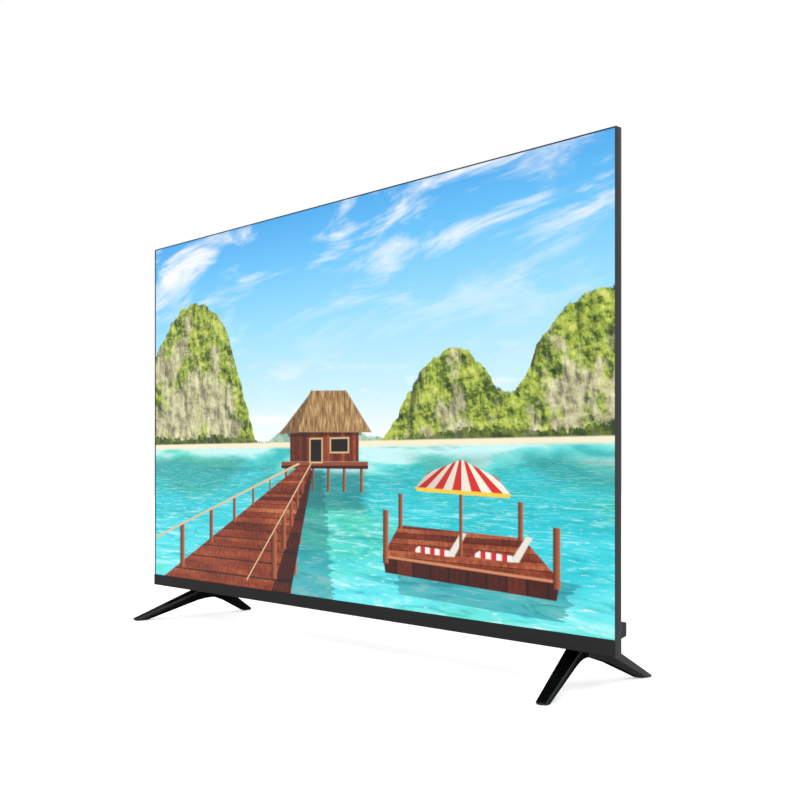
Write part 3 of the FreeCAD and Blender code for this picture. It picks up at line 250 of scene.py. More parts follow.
finishes = {
    "frame_dark": dict(colour=(56, 57, 59), rough=0.5, specular=0.06, along=(900.0, 900.0, 12.0),
                       depth=0.00001, spread=0.12),
    "bar_dark": dict(colour=(43, 43, 44), rough=0.5, specular=0.01, grain=2600.0),
    "window_red": dict(colour=(34, 8, 10), rough=0.12, depth=0.0),
    "key_black": dict(colour=(28, 28, 30), rough=0.3),
    "pcb_green": dict(colour=(30, 96, 58), rough=0.35, grain=400.0, drift=0.3, driftScale=260.0),
    "pcb_tan": dict(colour=(176, 140, 88), rough=0.5, grain=400.0, drift=0.3, driftScale=200.0),
    "white_plastic": dict(colour=(226, 226, 222), rough=0.5),
    "film": dict(colour=(226, 230, 232), rough=0.2),
    "diffuser": dict(colour=(232, 232, 230), rough=0.6),
    "reflector": dict(colour=(238, 238, 238), rough=0.4),
    "led_board": dict(colour=(228, 228, 222), rough=0.45),
    "lens_clear": dict(colour=(220, 226, 232), rough=0.05),
    "flex_amber": dict(colour=(186, 116, 40), rough=0.3),
    "tray_steel": dict(colour=(50, 51, 54), rough=0.55, grain=1100.0, depth=0.00005, specular=0.25),
    "housing_black": dict(colour=(38, 39, 41), rough=0.58, grain=1300.0, depth=0.00008, specular=0.2),
    "screw_dark": dict(colour=(60, 60, 64), rough=0.35, metal=1.0),
    "screw_bright": dict(colour=(190, 190, 188), rough=0.3, metal=1.0),
    "boss_steel": dict(colour=(180, 180, 176), rough=0.32, metal=1.0),
    "foot_gloss": dict(colour=(5, 6, 6), rough=0.12, specular=0.012, grain=300.0, depth=0.000004,
                       spread=0.05),
    # painted highlight: a lighter copy of the feet's black plastic, for the rounded ridge
    "foot_ridge": dict(colour=(62, 62, 63), rough=0.3, specular=0.3, grain=900.0, depth=0.000006),
    "foot_side": dict(colour=(16, 16, 17), rough=0.45, specular=0.0, grain=900.0, depth=0.00001),
    # painted light: a lighter copy of the black plastic for the lit outer side, and a painted shade copy
    # below it
    "foot_rear": dict(colour=(48, 48, 50), rough=0.32, specular=0.25, grain=900.0, depth=0.000006),
    "foot_keel": dict(colour=(28, 28, 29), rough=0.4, specular=0.1, grain=900.0, depth=0.000006),
    "rubber": dict(colour=(34, 34, 34), rough=0.8, grain=900.0),
    "bracket_steel": dict(colour=(180, 180, 180), rough=0.35, metal=1.0, along=(20.0, 900.0, 900.0)),
    "socket_metal": dict(colour=(196, 196, 192), rough=0.28, metal=1.0),
    "socket_black": dict(colour=(30, 30, 31), rough=0.5),
    "rocker_black": dict(colour=(24, 24, 25), rough=0.25),
    "chip_black": dict(colour=(38, 38, 42), rough=0.45),
    "heat_sink": dict(colour=(176, 180, 184), rough=0.38, metal=1.0, along=(900.0, 900.0, 20.0)),
    "ferrite": dict(colour=(190, 166, 90), rough=0.45),
    "can_black": dict(colour=(38, 44, 66), rough=0.3),
    "ribbon_white": dict(colour=(226, 230, 232), rough=0.4),
    "shield_can": dict(colour=(196, 196, 190), rough=0.3, metal=1.0),
    "speaker_case": dict(colour=(36, 36, 36), rough=0.6),
    "speaker_frame": dict(colour=(62, 62, 62), rough=0.45, metal=0.8),
    "speaker_cone": dict(colour=(44, 44, 44), rough=0.85, grain=700.0, depth=0.00008),
    "speaker_rubber": dict(colour=(38, 38, 38), rough=0.6),
    "lead_black": dict(colour=(28, 28, 28), rough=0.5),
}
materials = {name: makeFinish(name, **values) for name, values in finishes.items()}
print("finishes ready,", len(materials))


# The picture on the panel: a seaside scene of its own, drawn by nodes

picture = {
    "horizon": 0.40,
    "shore": 0.384,
    "split": 0.596,
    "sky": [(0.0, tone(250, 254, 255)), (0.2, tone(206, 242, 253)), (0.5, tone(156, 224, 251)),
            (0.8, tone(104, 196, 250)), (1.0, tone(74, 170, 238))],
    "sea": [(0.0, tone(206, 252, 250)), (0.08, tone(120, 232, 226)), (0.22, tone(34, 190, 192)),
            (0.45, tone(44, 208, 220)), (0.7, tone(74, 226, 238)), (1.0, tone(112, 240, 244))],
    "leaf": [(0.28, tone(34, 52, 20)), (0.42, tone(92, 112, 40)), (0.54, tone(158, 178, 66)),
             (0.68, tone(206, 214, 100)), (0.82, tone(234, 236, 142))],
    "rock": [(0.26, tone(62, 60, 44)), (0.42, tone(142, 138, 108)), (0.56, tone(206, 202, 156)),
             (0.74, tone(250, 244, 202))],
    "wood": [(0.15, tone(66, 20, 10)), (0.45, tone(122, 44, 22)), (0.65, tone(160, 72, 38)),
             (0.9, tone(206, 122, 78))],
    "thatch": [(0.3, tone(104, 70, 40)), (0.5, tone(168, 128, 80)), (0.7, tone(222, 190, 136))],
    "sand": tone(250, 240, 208),
    "white": tone(253, 254, 255),
    "shade": tone(4, 96, 104),
    # crest lines, (u, v) on the picture
    "cliff": ((-0.02, 0.63), (0.03, 0.72), (0.08, 0.79), (0.13, 0.815), (0.175, 0.79), (0.215, 0.735),
              (0.245, 0.64), (0.265, 0.56), (0.285, 0.49), (0.305, 0.40)),
    "bluff": ((0.60, 0.39), (0.63, 0.44), (0.665, 0.52), (0.71, 0.585), (0.75, 0.60), (0.79, 0.565),
              (0.825, 0.50), (0.85, 0.50), (0.885, 0.59), (0.93, 0.66), (0.97, 0.685), (1.02, 0.70)),
    "islet": ((0.33, 0.395), (0.37, 0.425), (0.41, 0.47), (0.45, 0.485), (0.49, 0.46), (0.53, 0.43),
              (0.57, 0.415), (0.62, 0.395)),
    "grove": ((-0.02, 0.425), (0.10, 0.415), (0.20, 0.42), (0.30, 0.405), (0.36, 0.392), (0.60, 0.39),
              (0.68, 0.408), (0.80, 0.42), (0.90, 0.412), (1.02, 0.43)),
}


def rise(tree, value, edge, soft=0.002):
    # 0 below the edge, 1 above it
    return ramp(tree, value, 0.0, 1.0, edge - soft, edge + soft)


def lineSide(tree, u, v, start, end, soft=0.0014):
    # 1 to the left of the line from start to end
    dx, dy = end[0] - start[0], end[1] - start[1]
    size = math.hypot(dx, dy)
    across = calc(tree, "MULTIPLY_ADD", u, -dy / size, (dy * start[0] - dx * start[1]) / size)
    return rise(tree, calc(tree, "MULTIPLY_ADD", v, dx / size, across), 0.0, soft)


def polygonMask(tree, u, v, points):
    # points run anticlockwise
    mask = None
    for start, end in zip(points, points[1:] + points[:1]):
        side = lineSide(tree, u, v, start, end)
        mask = side if mask is None else calc(tree, "MINIMUM", mask, side)
    return mask


def boxMask(tree, u, v, u0, u1, v0, v1, soft=0.0012):
    sides = []
    for value, low, high in ((u, u0, u1), (v, v0, v1)):
        away = calc(tree, "ABSOLUTE", calc(tree, "SUBTRACT", value, (low + high) / 2))
        half = (high - low) / 2
        sides.append(ramp(tree, away, 1.0, 0.0, half - soft, half + soft))
    return calc(tree, "MINIMUM", sides[0], sides[1])


def spread(tree, su, sv, shift=0.0):
    # picture place stretched for a pattern
    u, v = picture["place"]
    return vectorOf(tree, calc(tree, "MULTIPLY", u, su), calc(tree, "MULTIPLY", v, sv), shift)


def lateCopy(tree, value):
    # the same number from 0 to 1, read through a gradient: shapes are then worked out
    # in turn with the patterns, and the renderer has few numbers to hold at once
    node = addNode(tree, "ShaderNodeTexGradient")
    tree.links.new(vectorOf(tree, value, 0.0), node.inputs[0])
    return node.outputs["Fac"]


def reliefLight(tree, vector, scale, detail, rough, gain, step):
    # a noise seen as a surface that the sun strikes from the upper right
    moved = addNode(tree, "ShaderNodeVectorMath", operation="ADD")
    tree.links.new(vector, moved.inputs[0])
    moved.inputs[1].default_value = (step, step * 1.2, 0.0)
    here = noise(tree, vector, scale, detail, rough)
    there = noise(tree, moved.outputs[0], scale, detail, rough)
    return calc(tree, "MULTIPLY_ADD", calc(tree, "SUBTRACT", here, there), gain, 0.5)


def crestHeight(tree, u, points):
    curve = addNode(tree, "ShaderNodeFloatCurve")
    line = curve.mapping.curves[0]
    while len(line.points) < len(points):
        line.points.new(0.5, 0.5)
    for point, place in zip(line.points, points):
        point.location = place
    curve.mapping.use_clip = False
    curve.mapping.update()
    tree.links.new(u, curve.inputs["Value"])
    return curve.outputs[0]


def underCrest(tree, u, v, wide, points, rough, scale=24.0):
    edge = calc(tree, "SUBTRACT", noise(tree, wide, scale, 4.0, 0.62), 0.5)
    top = calc(tree, "MULTIPLY_ADD", edge, rough, crestHeight(tree, u, points))
    below = rise(tree, calc(tree, "SUBTRACT", top, v), 0.0)
    return calc(tree, "MINIMUM", below, rise(tree, v, picture["horizon"] - 0.006)), top


def skyTones(tree, v):
    up = ramp(tree, v, 0.0, 1.0, picture["horizon"], 1.0)
    sky = colourRamp(tree, up, picture["sky"])
    pu, pv = picture["place"]
    band = calc(tree, "MULTIPLY_ADD", pu, -2.2, calc(tree, "MULTIPLY", pv, 9.0))
    place = vectorOf(tree, calc(tree, "MULTIPLY", pu, 4.2), band)
    cloud = noise(tree, place, 1.0, 6.0, 0.6, 0.5)
    high = calc(tree, "MULTIPLY", ramp(tree, cloud, 0.0, 1.0, 0.47, 0.68, smooth=True),
                ramp(tree, up, 0.1, 1.0, 0.35, 0.85))
    sky = mixColour(tree, high, sky, picture["white"])
    puffs = noise(tree, spread(tree, 7.0, 16.0, 4.0), 1.0, 5.0, 0.58)
    low = calc(tree, "MULTIPLY", ramp(tree, puffs, 0.0, 0.9, 0.52, 0.66, smooth=True),
               ramp(tree, up, 1.0, 0.0, 0.1, 0.4))
    return mixColour(tree, low, sky, picture["white"])


def hillTones(tree, v, wide, seed, top):
    # leaves over pale rock, lit from the upper right
    lit = reliefLight(tree, wide, 9.0 + seed, 4.0, 0.6, 3.2, 0.010)
    fine = reliefLight(tree, wide, 46.0 + seed, 2.0, 0.65, 1.7, 0.003)
    clump = noise(tree, wide, 60.0 + seed, 2.0, 0.6)
    light = calc(tree, "MULTIPLY_ADD", lit, 0.55, calc(tree, "MULTIPLY", fine, 0.45))
    leafShare = calc(tree, "MULTIPLY_ADD", light, 0.72, calc(tree, "MULTIPLY", clump, 0.3))
    leaf = colourRamp(tree, leafShare, picture["leaf"])
    streak = noise(tree, spread(tree, 64.0 + seed, 15.0, seed), 1.0, 4.0, 0.64, 0.3)
    rockShare = calc(tree, "MULTIPLY_ADD", streak, 0.62, calc(tree, "MULTIPLY", light, 0.42))
    rock = colourRamp(tree, rockShare, picture["rock"])
    bare = noise(tree, spread(tree, 15.0 + seed, 7.0, seed), 1.0, 5.0, 0.6)
    depth = calc(tree, "SUBTRACT", top, v)
    cover = calc(tree, "ADD", bare, ramp(tree, depth, -0.10, 0.10, 0.0, 0.30))
    hill = mixColour(tree, ramp(tree, cover, 0.0, 1.0, 0.47, 0.56, smooth=True), leaf, rock)
    # dark clefts
    cleft = noise(tree, spread(tree, 30.0, 5.0, seed + 5.0), 1.0, 4.0, 0.55, 0.6)
    cleft = ramp(tree, cleft, 0.75, 0.0, 0.32, 0.41, smooth=True)
    return mixColour(tree, cleft, hill, tone(52, 60, 34))


def seaTones(tree, v, mirror):
    pu, pv = picture["place"]
    near = ramp(tree, pv, 0.0, 1.0, picture["shore"], 0.0)
    far = calc(tree, "DIVIDE", 1.0, calc(tree, "ADD", near, 0.06))
    across = calc(tree, "MULTIPLY", calc(tree, "SUBTRACT", pu, 0.62), far)
    deep = ramp(tree, v, 0.0, 1.0, picture["shore"], 0.0)
    water = vectorOf(tree, calc(tree, "MULTIPLY", across, 5.0), calc(tree, "MULTIPLY", far, 7.0))
    ripple = noise(tree, water, 1.8, 5.0, 0.62, 0.9)
    fine = noise(tree, water, 7.0, 2.0, 0.6, 0.4)
    swell = noise(tree, spread(tree, 5.0, 14.0, 2.0), 1.0, 4.0, 0.5, 0.5)
    depth = calc(tree, "ADD", deep, ramp(tree, swell, -0.25, 0.25, 0.3, 0.7))
    sea = colourRamp(tree, depth, picture["sea"])
    # green shallows and darker weed
    shoal = noise(tree, spread(tree, 3.0, 8.0, 7.0), 1.0, 4.0, 0.55, 0.6)
    shoal = ramp(tree, shoal, 0.0, 0.55, 0.5, 0.68, smooth=True)
    sea = mixColour(tree, shoal, sea, tone(96, 226, 176))
    weed = noise(tree, spread(tree, 4.0, 20.0, 11.0), 1.0, 4.0, 0.6, 0.8)
    weed = ramp(tree, weed, 0.62, 0.0, 0.30, 0.44, smooth=True)
    sea = mixColour(tree, weed, sea, tone(18, 150, 160))
    # hills mirrored near the shore
    glass = calc(tree, "MULTIPLY_ADD", calc(tree, "SUBTRACT", ripple, 0.5), 0.10, mirror)
    fall = calc(tree, "SUBTRACT", picture["shore"] - 0.012, v)
    seen = calc(tree, "SUBTRACT", calc(tree, "MULTIPLY", glass, 0.32), fall)
    seen = ramp(tree, seen, 0.0, 0.5, 0.0, 0.03)
    seen = calc(tree, "MULTIPLY", seen, rise(tree, fall, 0.012, 0.012))
    sea = mixColour(tree, seen, sea, tone(30, 138, 122))
    dark = ramp(tree, ripple, 0.55, 0.0, 0.33, 0.47, smooth=True)
    sea = mixColour(tree, dark, sea, tone(20, 164, 178))
    light = calc(tree, "MULTIPLY", ramp(tree, ripple, 0.0, 0.8, 0.52, 0.66, smooth=True),
                 ramp(tree, deep, 0.35, 0.9, 0.0, 0.6))
    sea = mixColour(tree, light, sea, tone(186, 252, 252))
    glint = ramp(tree, fine, 0.0, 0.7, 0.60, 0.74, smooth=True)
    return mixColour(tree, glint, sea, picture["white"])


def woodTones(tree, stripes, sun=0.0):
    grain = noise(tree, spread(tree, 190.0, 60.0), 1.0, 3.0, 0.6)
    boards = calc(tree, "FRACT", stripes)
    board = calc(tree, "FLOOR", stripes)
    each = addNode(tree, "ShaderNodeTexWhiteNoise", noise_dimensions="1D")
    tree.links.new(board, each.inputs["W"])
    value = calc(tree, "MULTIPLY_ADD", each.outputs[0], 0.34, calc(tree, "MULTIPLY_ADD", grain, 0.6, sun))
    wood = colourRamp(tree, value, picture["wood"])
    gap = ramp(tree, boards, 0.9, 0.0, 0.05, 0.14)
    return mixColour(tree, gap, wood, tone(34, 10, 6))


def layOver(tree, colour, mask, paint, share=1.0):
    # paint over the mask, thinned to a share of itself
    if share < 1.0:
        mask = calc(tree, "MULTIPLY", mask, share)
    return mixColour(tree, mask, colour, paint)


def post(tree, colour, u, v, x, low, high, half):
    # round timber, bright on its sunny side
    sunny = ramp(tree, u, 0.0, 1.0, x - half, x + half)
    paint = mixColour(tree, sunny, tone(58, 18, 10), tone(196, 108, 66))
    return layOver(tree, colour, boxMask(tree, u, v, x - half, x + half, low, high), paint)


def jetty(tree, colour, u, v, wavy):
    # boards that run out to a hut on stilts
    horizon = picture["horizon"]
    reach = calc(tree, "DIVIDE", 3.1, calc(tree, "SUBTRACT", horizon + 0.015, v))
    shadow = polygonMask(tree, wavy, v, [(0.24, -0.01), (0.50, -0.01), (0.475, 0.325), (0.44, 0.325)])
    colour = layOver(tree, colour, shadow, picture["shade"], 0.5)
    for t in (0.10, 0.34, 0.54, 0.70, 0.82):
        x, low = 0.385 + 0.062 * t, -0.02 + 0.345 * t
        colour = post(tree, colour, u, v, x, low - 0.07 * (1 - t), low + 0.02, 0.008 * (1.1 - t))
    fascia = polygonMask(tree, u, v, [(0.335, -0.01), (0.395, -0.01), (0.451, 0.318), (0.443, 0.336)])
    colour = layOver(tree, colour, fascia, woodTones(tree, calc(tree, "MULTIPLY", reach, 0.5), -0.34))
    deck = polygonMask(tree, u, v, [(0.02, -0.01), (0.345, -0.01), (0.4475, 0.336), (0.4185, 0.336)])
    shine = ramp(tree, noise(tree, spread(tree, 9.0, 30.0, 3.0), 1.0, 4.0), -0.06, 0.22, 0.35, 0.7)
    colour = layOver(tree, colour, deck, woodTones(tree, reach, shine))
    for t in (0.80, 0.68, 0.54, 0.36, 0.12):
        size = 1.06 - t
        low = 0.005 + 0.33 * t
        for near, end in ((0.045, 0.4195), (0.342, 0.4475)):
            x = near + (end - near) * t
            colour = post(tree, colour, u, v, x, low - 0.012 * size, low + 0.125 * size, 0.0075 * size)
    for near, end in (((0.045, 0.1375), (0.4195, 0.3425)), ((0.342, 0.1375), (0.4475, 0.3425))):
        slope = (end[1] - near[1]) / (end[0] - near[0])
        height = calc(tree, "MULTIPLY_ADD", u, slope, near[1] - slope * near[0])
        away = calc(tree, "ABSOLUTE", calc(tree, "SUBTRACT", height, v))
        line = calc(tree, "MINIMUM", ramp(tree, away, 1.0, 0.0, 0.002, 0.0045),
                    boxMask(tree, u, v, near[0] - 0.06, end[0], -0.1, end[1]))
        colour = layOver(tree, colour, line, tone(226, 196, 150))
    return colour


def hut(tree, colour, u, v, wavy):
    mirror = boxMask(tree, wavy, v, 0.395, 0.57, 0.225, 0.325, 0.01)
    colour = layOver(tree, colour, mirror, tone(10, 92, 96), 0.55)
    for x in (0.386, 0.418, 0.452, 0.488, 0.524, 0.562):
        colour = post(tree, colour, u, v, x, 0.272, 0.338, 0.0032)
    colour = layOver(tree, colour, boxMask(tree, u, v, 0.374, 0.576, 0.331, 0.347), tone(150, 72, 42))
    colour = layOver(tree, colour, boxMask(tree, u, v, 0.374, 0.576, 0.329, 0.337), tone(60, 20, 12))
    boards = woodTones(tree, calc(tree, "MULTIPLY", u, 120.0), 0.05)
    colour = layOver(tree, colour, boxMask(tree, u, v, 0.396, 0.556, 0.347, 0.435), boards)
    colour = layOver(tree, colour, boxMask(tree, u, v, 0.396, 0.436, 0.347, 0.435), tone(44, 14, 8), 0.55)
    for x0, x1, z0, z1 in ((0.446, 0.472, 0.347, 0.404), (0.494, 0.532, 0.372, 0.404)):
        frameMask = boxMask(tree, u, v, x0 - 0.003, x1 + 0.003, z0 - 0.004, z1 + 0.004)
        colour = layOver(tree, colour, frameMask, tone(222, 190, 140))
        colour = layOver(tree, colour, boxMask(tree, u, v, x0, x1, z0, z1), tone(26, 14, 12))
    colour = layOver(tree, colour, boxMask(tree, u, v, 0.390, 0.562, 0.412, 0.432), tone(24, 8, 4), 0.6)
    straw = noise(tree, spread(tree, 260.0, 26.0), 1.0, 3.0, 0.6)
    roof = colourRamp(tree, straw, picture["thatch"])
    main = polygonMask(tree, u, v, [(0.412, 0.424), (0.584, 0.418), (0.528, 0.524), (0.446, 0.530)])
    colour = layOver(tree, colour, main, roof)
    hip = polygonMask(tree, u, v, [(0.368, 0.420), (0.414, 0.422), (0.450, 0.530)])
    return layOver(tree, colour, hip, mixColour(tree, 0.5, roof, tone(58, 34, 18)))


def raft(tree, colour, u, v, wavy):
    # bathing raft with a sunshade
    reach = calc(tree, "DIVIDE", 4.2, calc(tree, "SUBTRACT", picture["horizon"], v))
    shade = polygonMask(tree, wavy, v, [(0.635, 0.035), (0.92, 0.02), (0.945, 0.10), (0.64, 0.13)])
    colour = layOver(tree, colour, shade, picture["shade"], 0.5)
    side = polygonMask(tree, u, v, [(0.612, 0.082), (0.914, 0.062), (0.920, 0.104), (0.607, 0.124)])
    colour = layOver(tree, colour, side, woodTones(tree, calc(tree, "MULTIPLY", u, 30.0), -0.25))
    rim = polygonMask(tree, u, v, [(0.607, 0.118), (0.920, 0.098), (0.920, 0.106), (0.607, 0.127)])
    colour = layOver(tree, colour, rim, tone(214, 140, 96))
    deck = polygonMask(tree, u, v, [(0.608, 0.124), (0.920, 0.104), (0.862, 0.186), (0.640, 0.198)])
    shine = ramp(tree, noise(tree, spread(tree, 14.0, 40.0, 9.0), 1.0, 4.0), -0.05, 0.22, 0.35, 0.7)
    colour = layOver(tree, colour, deck, woodTones(tree, reach, shine))
    for x, low, high, half in ((0.643, 0.19, 0.272, 0.0042), (0.858, 0.18, 0.262, 0.0042),
                               (0.613, 0.105, 0.232, 0.0056), (0.914, 0.086, 0.212, 0.0056)):
        colour = post(tree, colour, u, v, x, low, high, half)
    # two loungers, then the sunshade over them
    for x in (0.665, 0.775):
        seat = polygonMask(tree, u, v, [
            (x, 0.138), (x + 0.075, 0.133), (x + 0.083, 0.146), (x + 0.014, 0.152)])
        rest = polygonMask(tree, u, v, [
            (x + 0.066, 0.134), (x + 0.080, 0.134), (x + 0.102, 0.188), (x + 0.092, 0.190)])
        stripes = rise(tree, calc(tree, "FRACT", calc(tree, "MULTIPLY", u, 55.0)), 0.5, 0.1)
        stripes = mixColour(tree, stripes, tone(246, 246, 240), tone(214, 40, 44))
        colour = layOver(tree, colour, seat, stripes)
        colour = layOver(tree, colour, rest, tone(236, 232, 220))
    colour = post(tree, colour, u, v, 0.757, 0.135, 0.345, 0.003)
    top = polygonMask(tree, u, v, [
        (0.672, 0.286), (0.842, 0.276), (0.820, 0.312), (0.758, 0.352), (0.696, 0.322)])
    fan = calc(tree, "DIVIDE", calc(tree, "SUBTRACT", u, 0.758), calc(tree, "SUBTRACT", 0.372, v))
    fan = calc(tree, "FRACT", calc(tree, "MULTIPLY_ADD", fan, 2.6, 10.0))
    cloth = mixColour(tree, rise(tree, fan, 0.5, 0.04), tone(250, 244, 226), tone(222, 44, 40))
    cloth = mixColour(tree, ramp(tree, u, 0.4, 0.0, 0.68, 0.79), cloth, tone(120, 40, 30))
    colour = layOver(tree, colour, top, cloth)
    hem = polygonMask(tree, u, v, [(0.676, 0.279), (0.840, 0.269), (0.842, 0.278), (0.672, 0.288)])
    return layOver(tree, colour, hem, tone(250, 210, 60))


def makePictureGroup(name, layers):
    # one group for each half, because one shader can't hold the whole picture
    tree, takes, gives = newGroup(
        name, [("U", number, 0.5), ("V", number, 0.5)], [("Color", "NodeSocketColor")])
    picture["place"] = takes.outputs["U"], takes.outputs["V"]
    wide = spread(tree, 16 / 9, 1.0)
    u, v = [lateCopy(tree, value) for value in picture["place"]]
    colour = skyTones(tree, v)
    mirror = calc(tree, "MAXIMUM", crestHeight(tree, u, picture["cliff"]),
                  crestHeight(tree, u, picture["bluff"]))
    mirror = calc(tree, "SUBTRACT", mirror, picture["horizon"])
    # hill, roughness of its crest and the scale of that, seed, a tone laid over it
    for hill, rough, scale, seed, veil in (
            ("islet", 0.03, 24.0, 1.0, (0.5, tone(176, 220, 226))), ("bluff", 0.05, 24.0, 3.0, None),
            ("cliff", 0.06, 24.0, 2.0, None), ("grove", 0.05, 60.0, 4.0, (0.72, tone(46, 66, 26)))):
        mask, top = underCrest(tree, u, v, wide, picture[hill], rough, scale)
        shade = hillTones(tree, v, wide, seed, top)
        if veil:
            shade = mixColour(tree, veil[0], shade, veil[1])
        colour = mixColour(tree, mask, colour, shade)
    land = rise(tree, calc(tree, "SUBTRACT", picture["horizon"] - 0.002, v), 0.0)
    colour = mixColour(tree, land, colour, picture["sand"])
    sea = seaTones(tree, v, mirror)
    water = rise(tree, calc(tree, "SUBTRACT", picture["shore"], v), 0.0, 0.004)
    colour = mixColour(tree, water, colour, sea)
    sway = noise(tree, spread(tree, 8.0, 90.0), 1.0, 3.0)
    wavy = calc(tree, "MULTIPLY_ADD", calc(tree, "SUBTRACT", sway, 0.5), 0.06, u)
    for layer in layers:
        colour = layer(tree, colour, u, v, wavy)
    tree.links.new(colour, gives.inputs["Color"])


# the front is made of the faces whose normal's backward part is below "front"
panelLook = {"front": -0.9, "base": (20, 22, 24), "rough": 0.45, "specular": 0.1, "glow": 1.0,
             "edge": (26, 28, 30), "edgeRough": 0.2}


def makePictureMaterial(name, low, high):
    mat = bpy.data.materials.new("panel_" + name)
    mat.use_nodes = True
    tree = mat.node_tree
    shader = tree.nodes["Principled BSDF"]
    shader.inputs["Base Color"].default_value = tone(*panelLook["base"])
    shader.inputs["Roughness"].default_value = panelLook["rough"]
    shader.inputs["Specular IOR Level"].default_value = panelLook["specular"]
    shader.inputs["Emission Strength"].default_value = panelLook["glow"]
    split = addNode(tree, "ShaderNodeSeparateXYZ")
    tree.links.new(objectPlace(tree), split.inputs[0])
    u = ramp(tree, split.outputs["X"], 0.0, 1.0, low.x, high.x)
    v = ramp(tree, split.outputs["Z"], 0.0, 1.0, low.z, high.z)
    painted = useGroup(tree, name, U=u, V=v)
    tree.links.new(painted.outputs["Color"], shader.inputs["Emission Color"])
    return mat


makePictureGroup("seasideLeft", (hut, jetty))
makePictureGroup("seasideRight", (raft,))
trimLow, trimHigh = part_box("bezel_top")
barLow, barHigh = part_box("bottom_bar")
seenLow = Vector((trimLow.x, trimLow.y, barHigh.z))
pictureMats = [makePictureMaterial(name, seenLow, trimHigh) for name in ("seasideLeft", "seasideRight")]
edgeMat = makeFinish("panel_edge", panelLook["edge"], panelLook["edgeRough"])
print("picture drawn")


# Pieces

copyLook = {"weld": 0.001 * mm, "flat": 0.6}


def cleanCopy(source):
    # a CAD node's mesh with its loose triangles joined and its flat faces made whole
    bm = bmesh.new()
    bm.from_mesh(nodes[source].data)
    bmesh.ops.remove_doubles(bm, verts=bm.verts, dist=copyLook["weld"])
    bmesh.ops.dissolve_limit(bm, angle_limit=math.radians(copyLook["flat"]), verts=bm.verts, edges=bm.edges)
    return bm


def bevelSharp(bm, width, segments, least=25.0):
    edges = [e for e in bm.edges if len(e.link_faces) == 2 and e.calc_face_angle(0.0) > math.radians(least)]
    bmesh.ops.bevel(bm, geom=edges, offset=width, offset_type="OFFSET", segments=segments, profile=0.5,
                    affect="EDGES", material=-1, clamp_overlap=True)


def finishPiece(bm, name, source, mats, smoothAngle=35.0):
    mesh = bpy.data.meshes.new(name)
    bm.to_mesh(mesh)
    bm.free()
    for face in mesh.polygons:
        face.use_smooth = True
    mesh.set_sharp_from_angle(angle=math.radians(smoothAngle))
    for mat in mats:
        mesh.materials.append(mat)
    piece = bpy.data.objects.new(name, mesh)
    bpy.context.scene.collection.objects.link(piece)
    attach(piece, nodes[source]["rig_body"])
    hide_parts(source)


def makePanelPiece():
    bm = cleanCopy("lcd_cell")
    split = seenLow.x + picture["split"] * (trimHigh.x - seenLow.x)
    bmesh.ops.bisect_plane(bm, geom=bm.verts[:] + bm.edges[:] + bm.faces[:], plane_co=(split, 0, 0),
                           plane_no=(1, 0, 0))
    for face in bm.faces:
        half = 1 if face.calc_center_median().x < split else 2
        face.material_index = half if face.normal.y < panelLook["front"] else 0
    finishPiece(bm, "picture_panel", "lcd_cell", [edgeMat] + pictureMats)


trimLook = {"round": 0.18 * mm, "segments": 2}


def makeTrimPieces():
    for source in ("bezel_left", "bezel_right", "bezel_top"):
        bm = cleanCopy(source)
        bevelSharp(bm, trimLook["round"], trimLook["segments"])
        finishPiece(bm, source.replace("bezel", "trim"), source, [materials["frame_dark"]])


# painted light: end faces, whose normal's sideways part is over "litEndTurn", take the trim's lighter
# finish, as if lit from the side
barLook = {"round": 0.3 * mm, "segments": 3, "litEndTurn": 0.9}


def makeBarPiece():
    bm = cleanCopy("bottom_bar")
    for face in bm.faces:
        # painted light: the bar's ends get the trim's lighter finish
        face.material_index = int(abs(face.normal.x) > barLook["litEndTurn"])
    bevelSharp(bm, barLook["round"], barLook["segments"])
    finishPiece(bm, "lower_bar", "bottom_bar", [materials["bar_dark"], materials["frame_dark"]])


housingLook = {"round": 0.9 * mm, "segments": 3, "turn": 25.0, "shortest": 60 * mm}


def makeHousingPiece():
    # the moulded back with its long outer edges rounded; slots and bosses stay crisp
    bm = cleanCopy("rear_housing")
    edges = [e for e in bm.edges if len(e.link_faces) == 2 and e.calc_length() > housingLook["shortest"]
             and e.calc_face_angle_signed(0.0) > math.radians(housingLook["turn"])]
    bmesh.ops.bevel(bm, geom=edges, offset=housingLook["round"], offset_type="OFFSET",
                    segments=housingLook["segments"], profile=0.5, affect="EDGES", material=-1,
                    clamp_overlap=False)
    print("housing edges rounded,", len(edges))
    finishPiece(bm, "rear_cover", "rear_housing", [materials["housing_black"]])


# a tilt is the upward part of a face's normal, flankTurn the outward one; a run is a distance
# along an arm from the hub, which is apexBack behind the trim's front and inset from the bar's end
footLook = {"ridge": 1.9 * mm, "ridgeTurn": 20.0, "ridgeSegments": 4,
            "corner": 0.6 * mm, "cornerTurn": 40.0, "cornerSegments": 2,
            "crownTilt": 0.6, "flankTurn": 0.6, "lowTilt": -0.2, "soleTilt": -0.8, "barGap": 1 * mm,
            "apexBack": 51.9 * mm, "inset": 86.1 * mm, "splay": 0.31,
            "hubRun": 15 * mm, "hubSoft": 25 * mm, "armRun": 85 * mm,
            "fuller": 1.2 * mm, "lift": 0.5 * mm, "liftToe": 1.3 * mm,
            "archDrop": 3.0 * mm, "archFlat": 6 * mm, "archRun": 34 * mm,
            # crownTop and crownSlope give the crown's edge, from which the painted highlight on the sides
            # fades
            "crownTop": 54.3 * mm, "crownSlope": 0.46, "flankHighlightDepth": 5 * mm, "flankHighlightTone": (60, 60, 61)}


def smoothShare(value):
    value = min(max(value, 0.0), 1.0)
    return value * value * (3 - 2 * value)


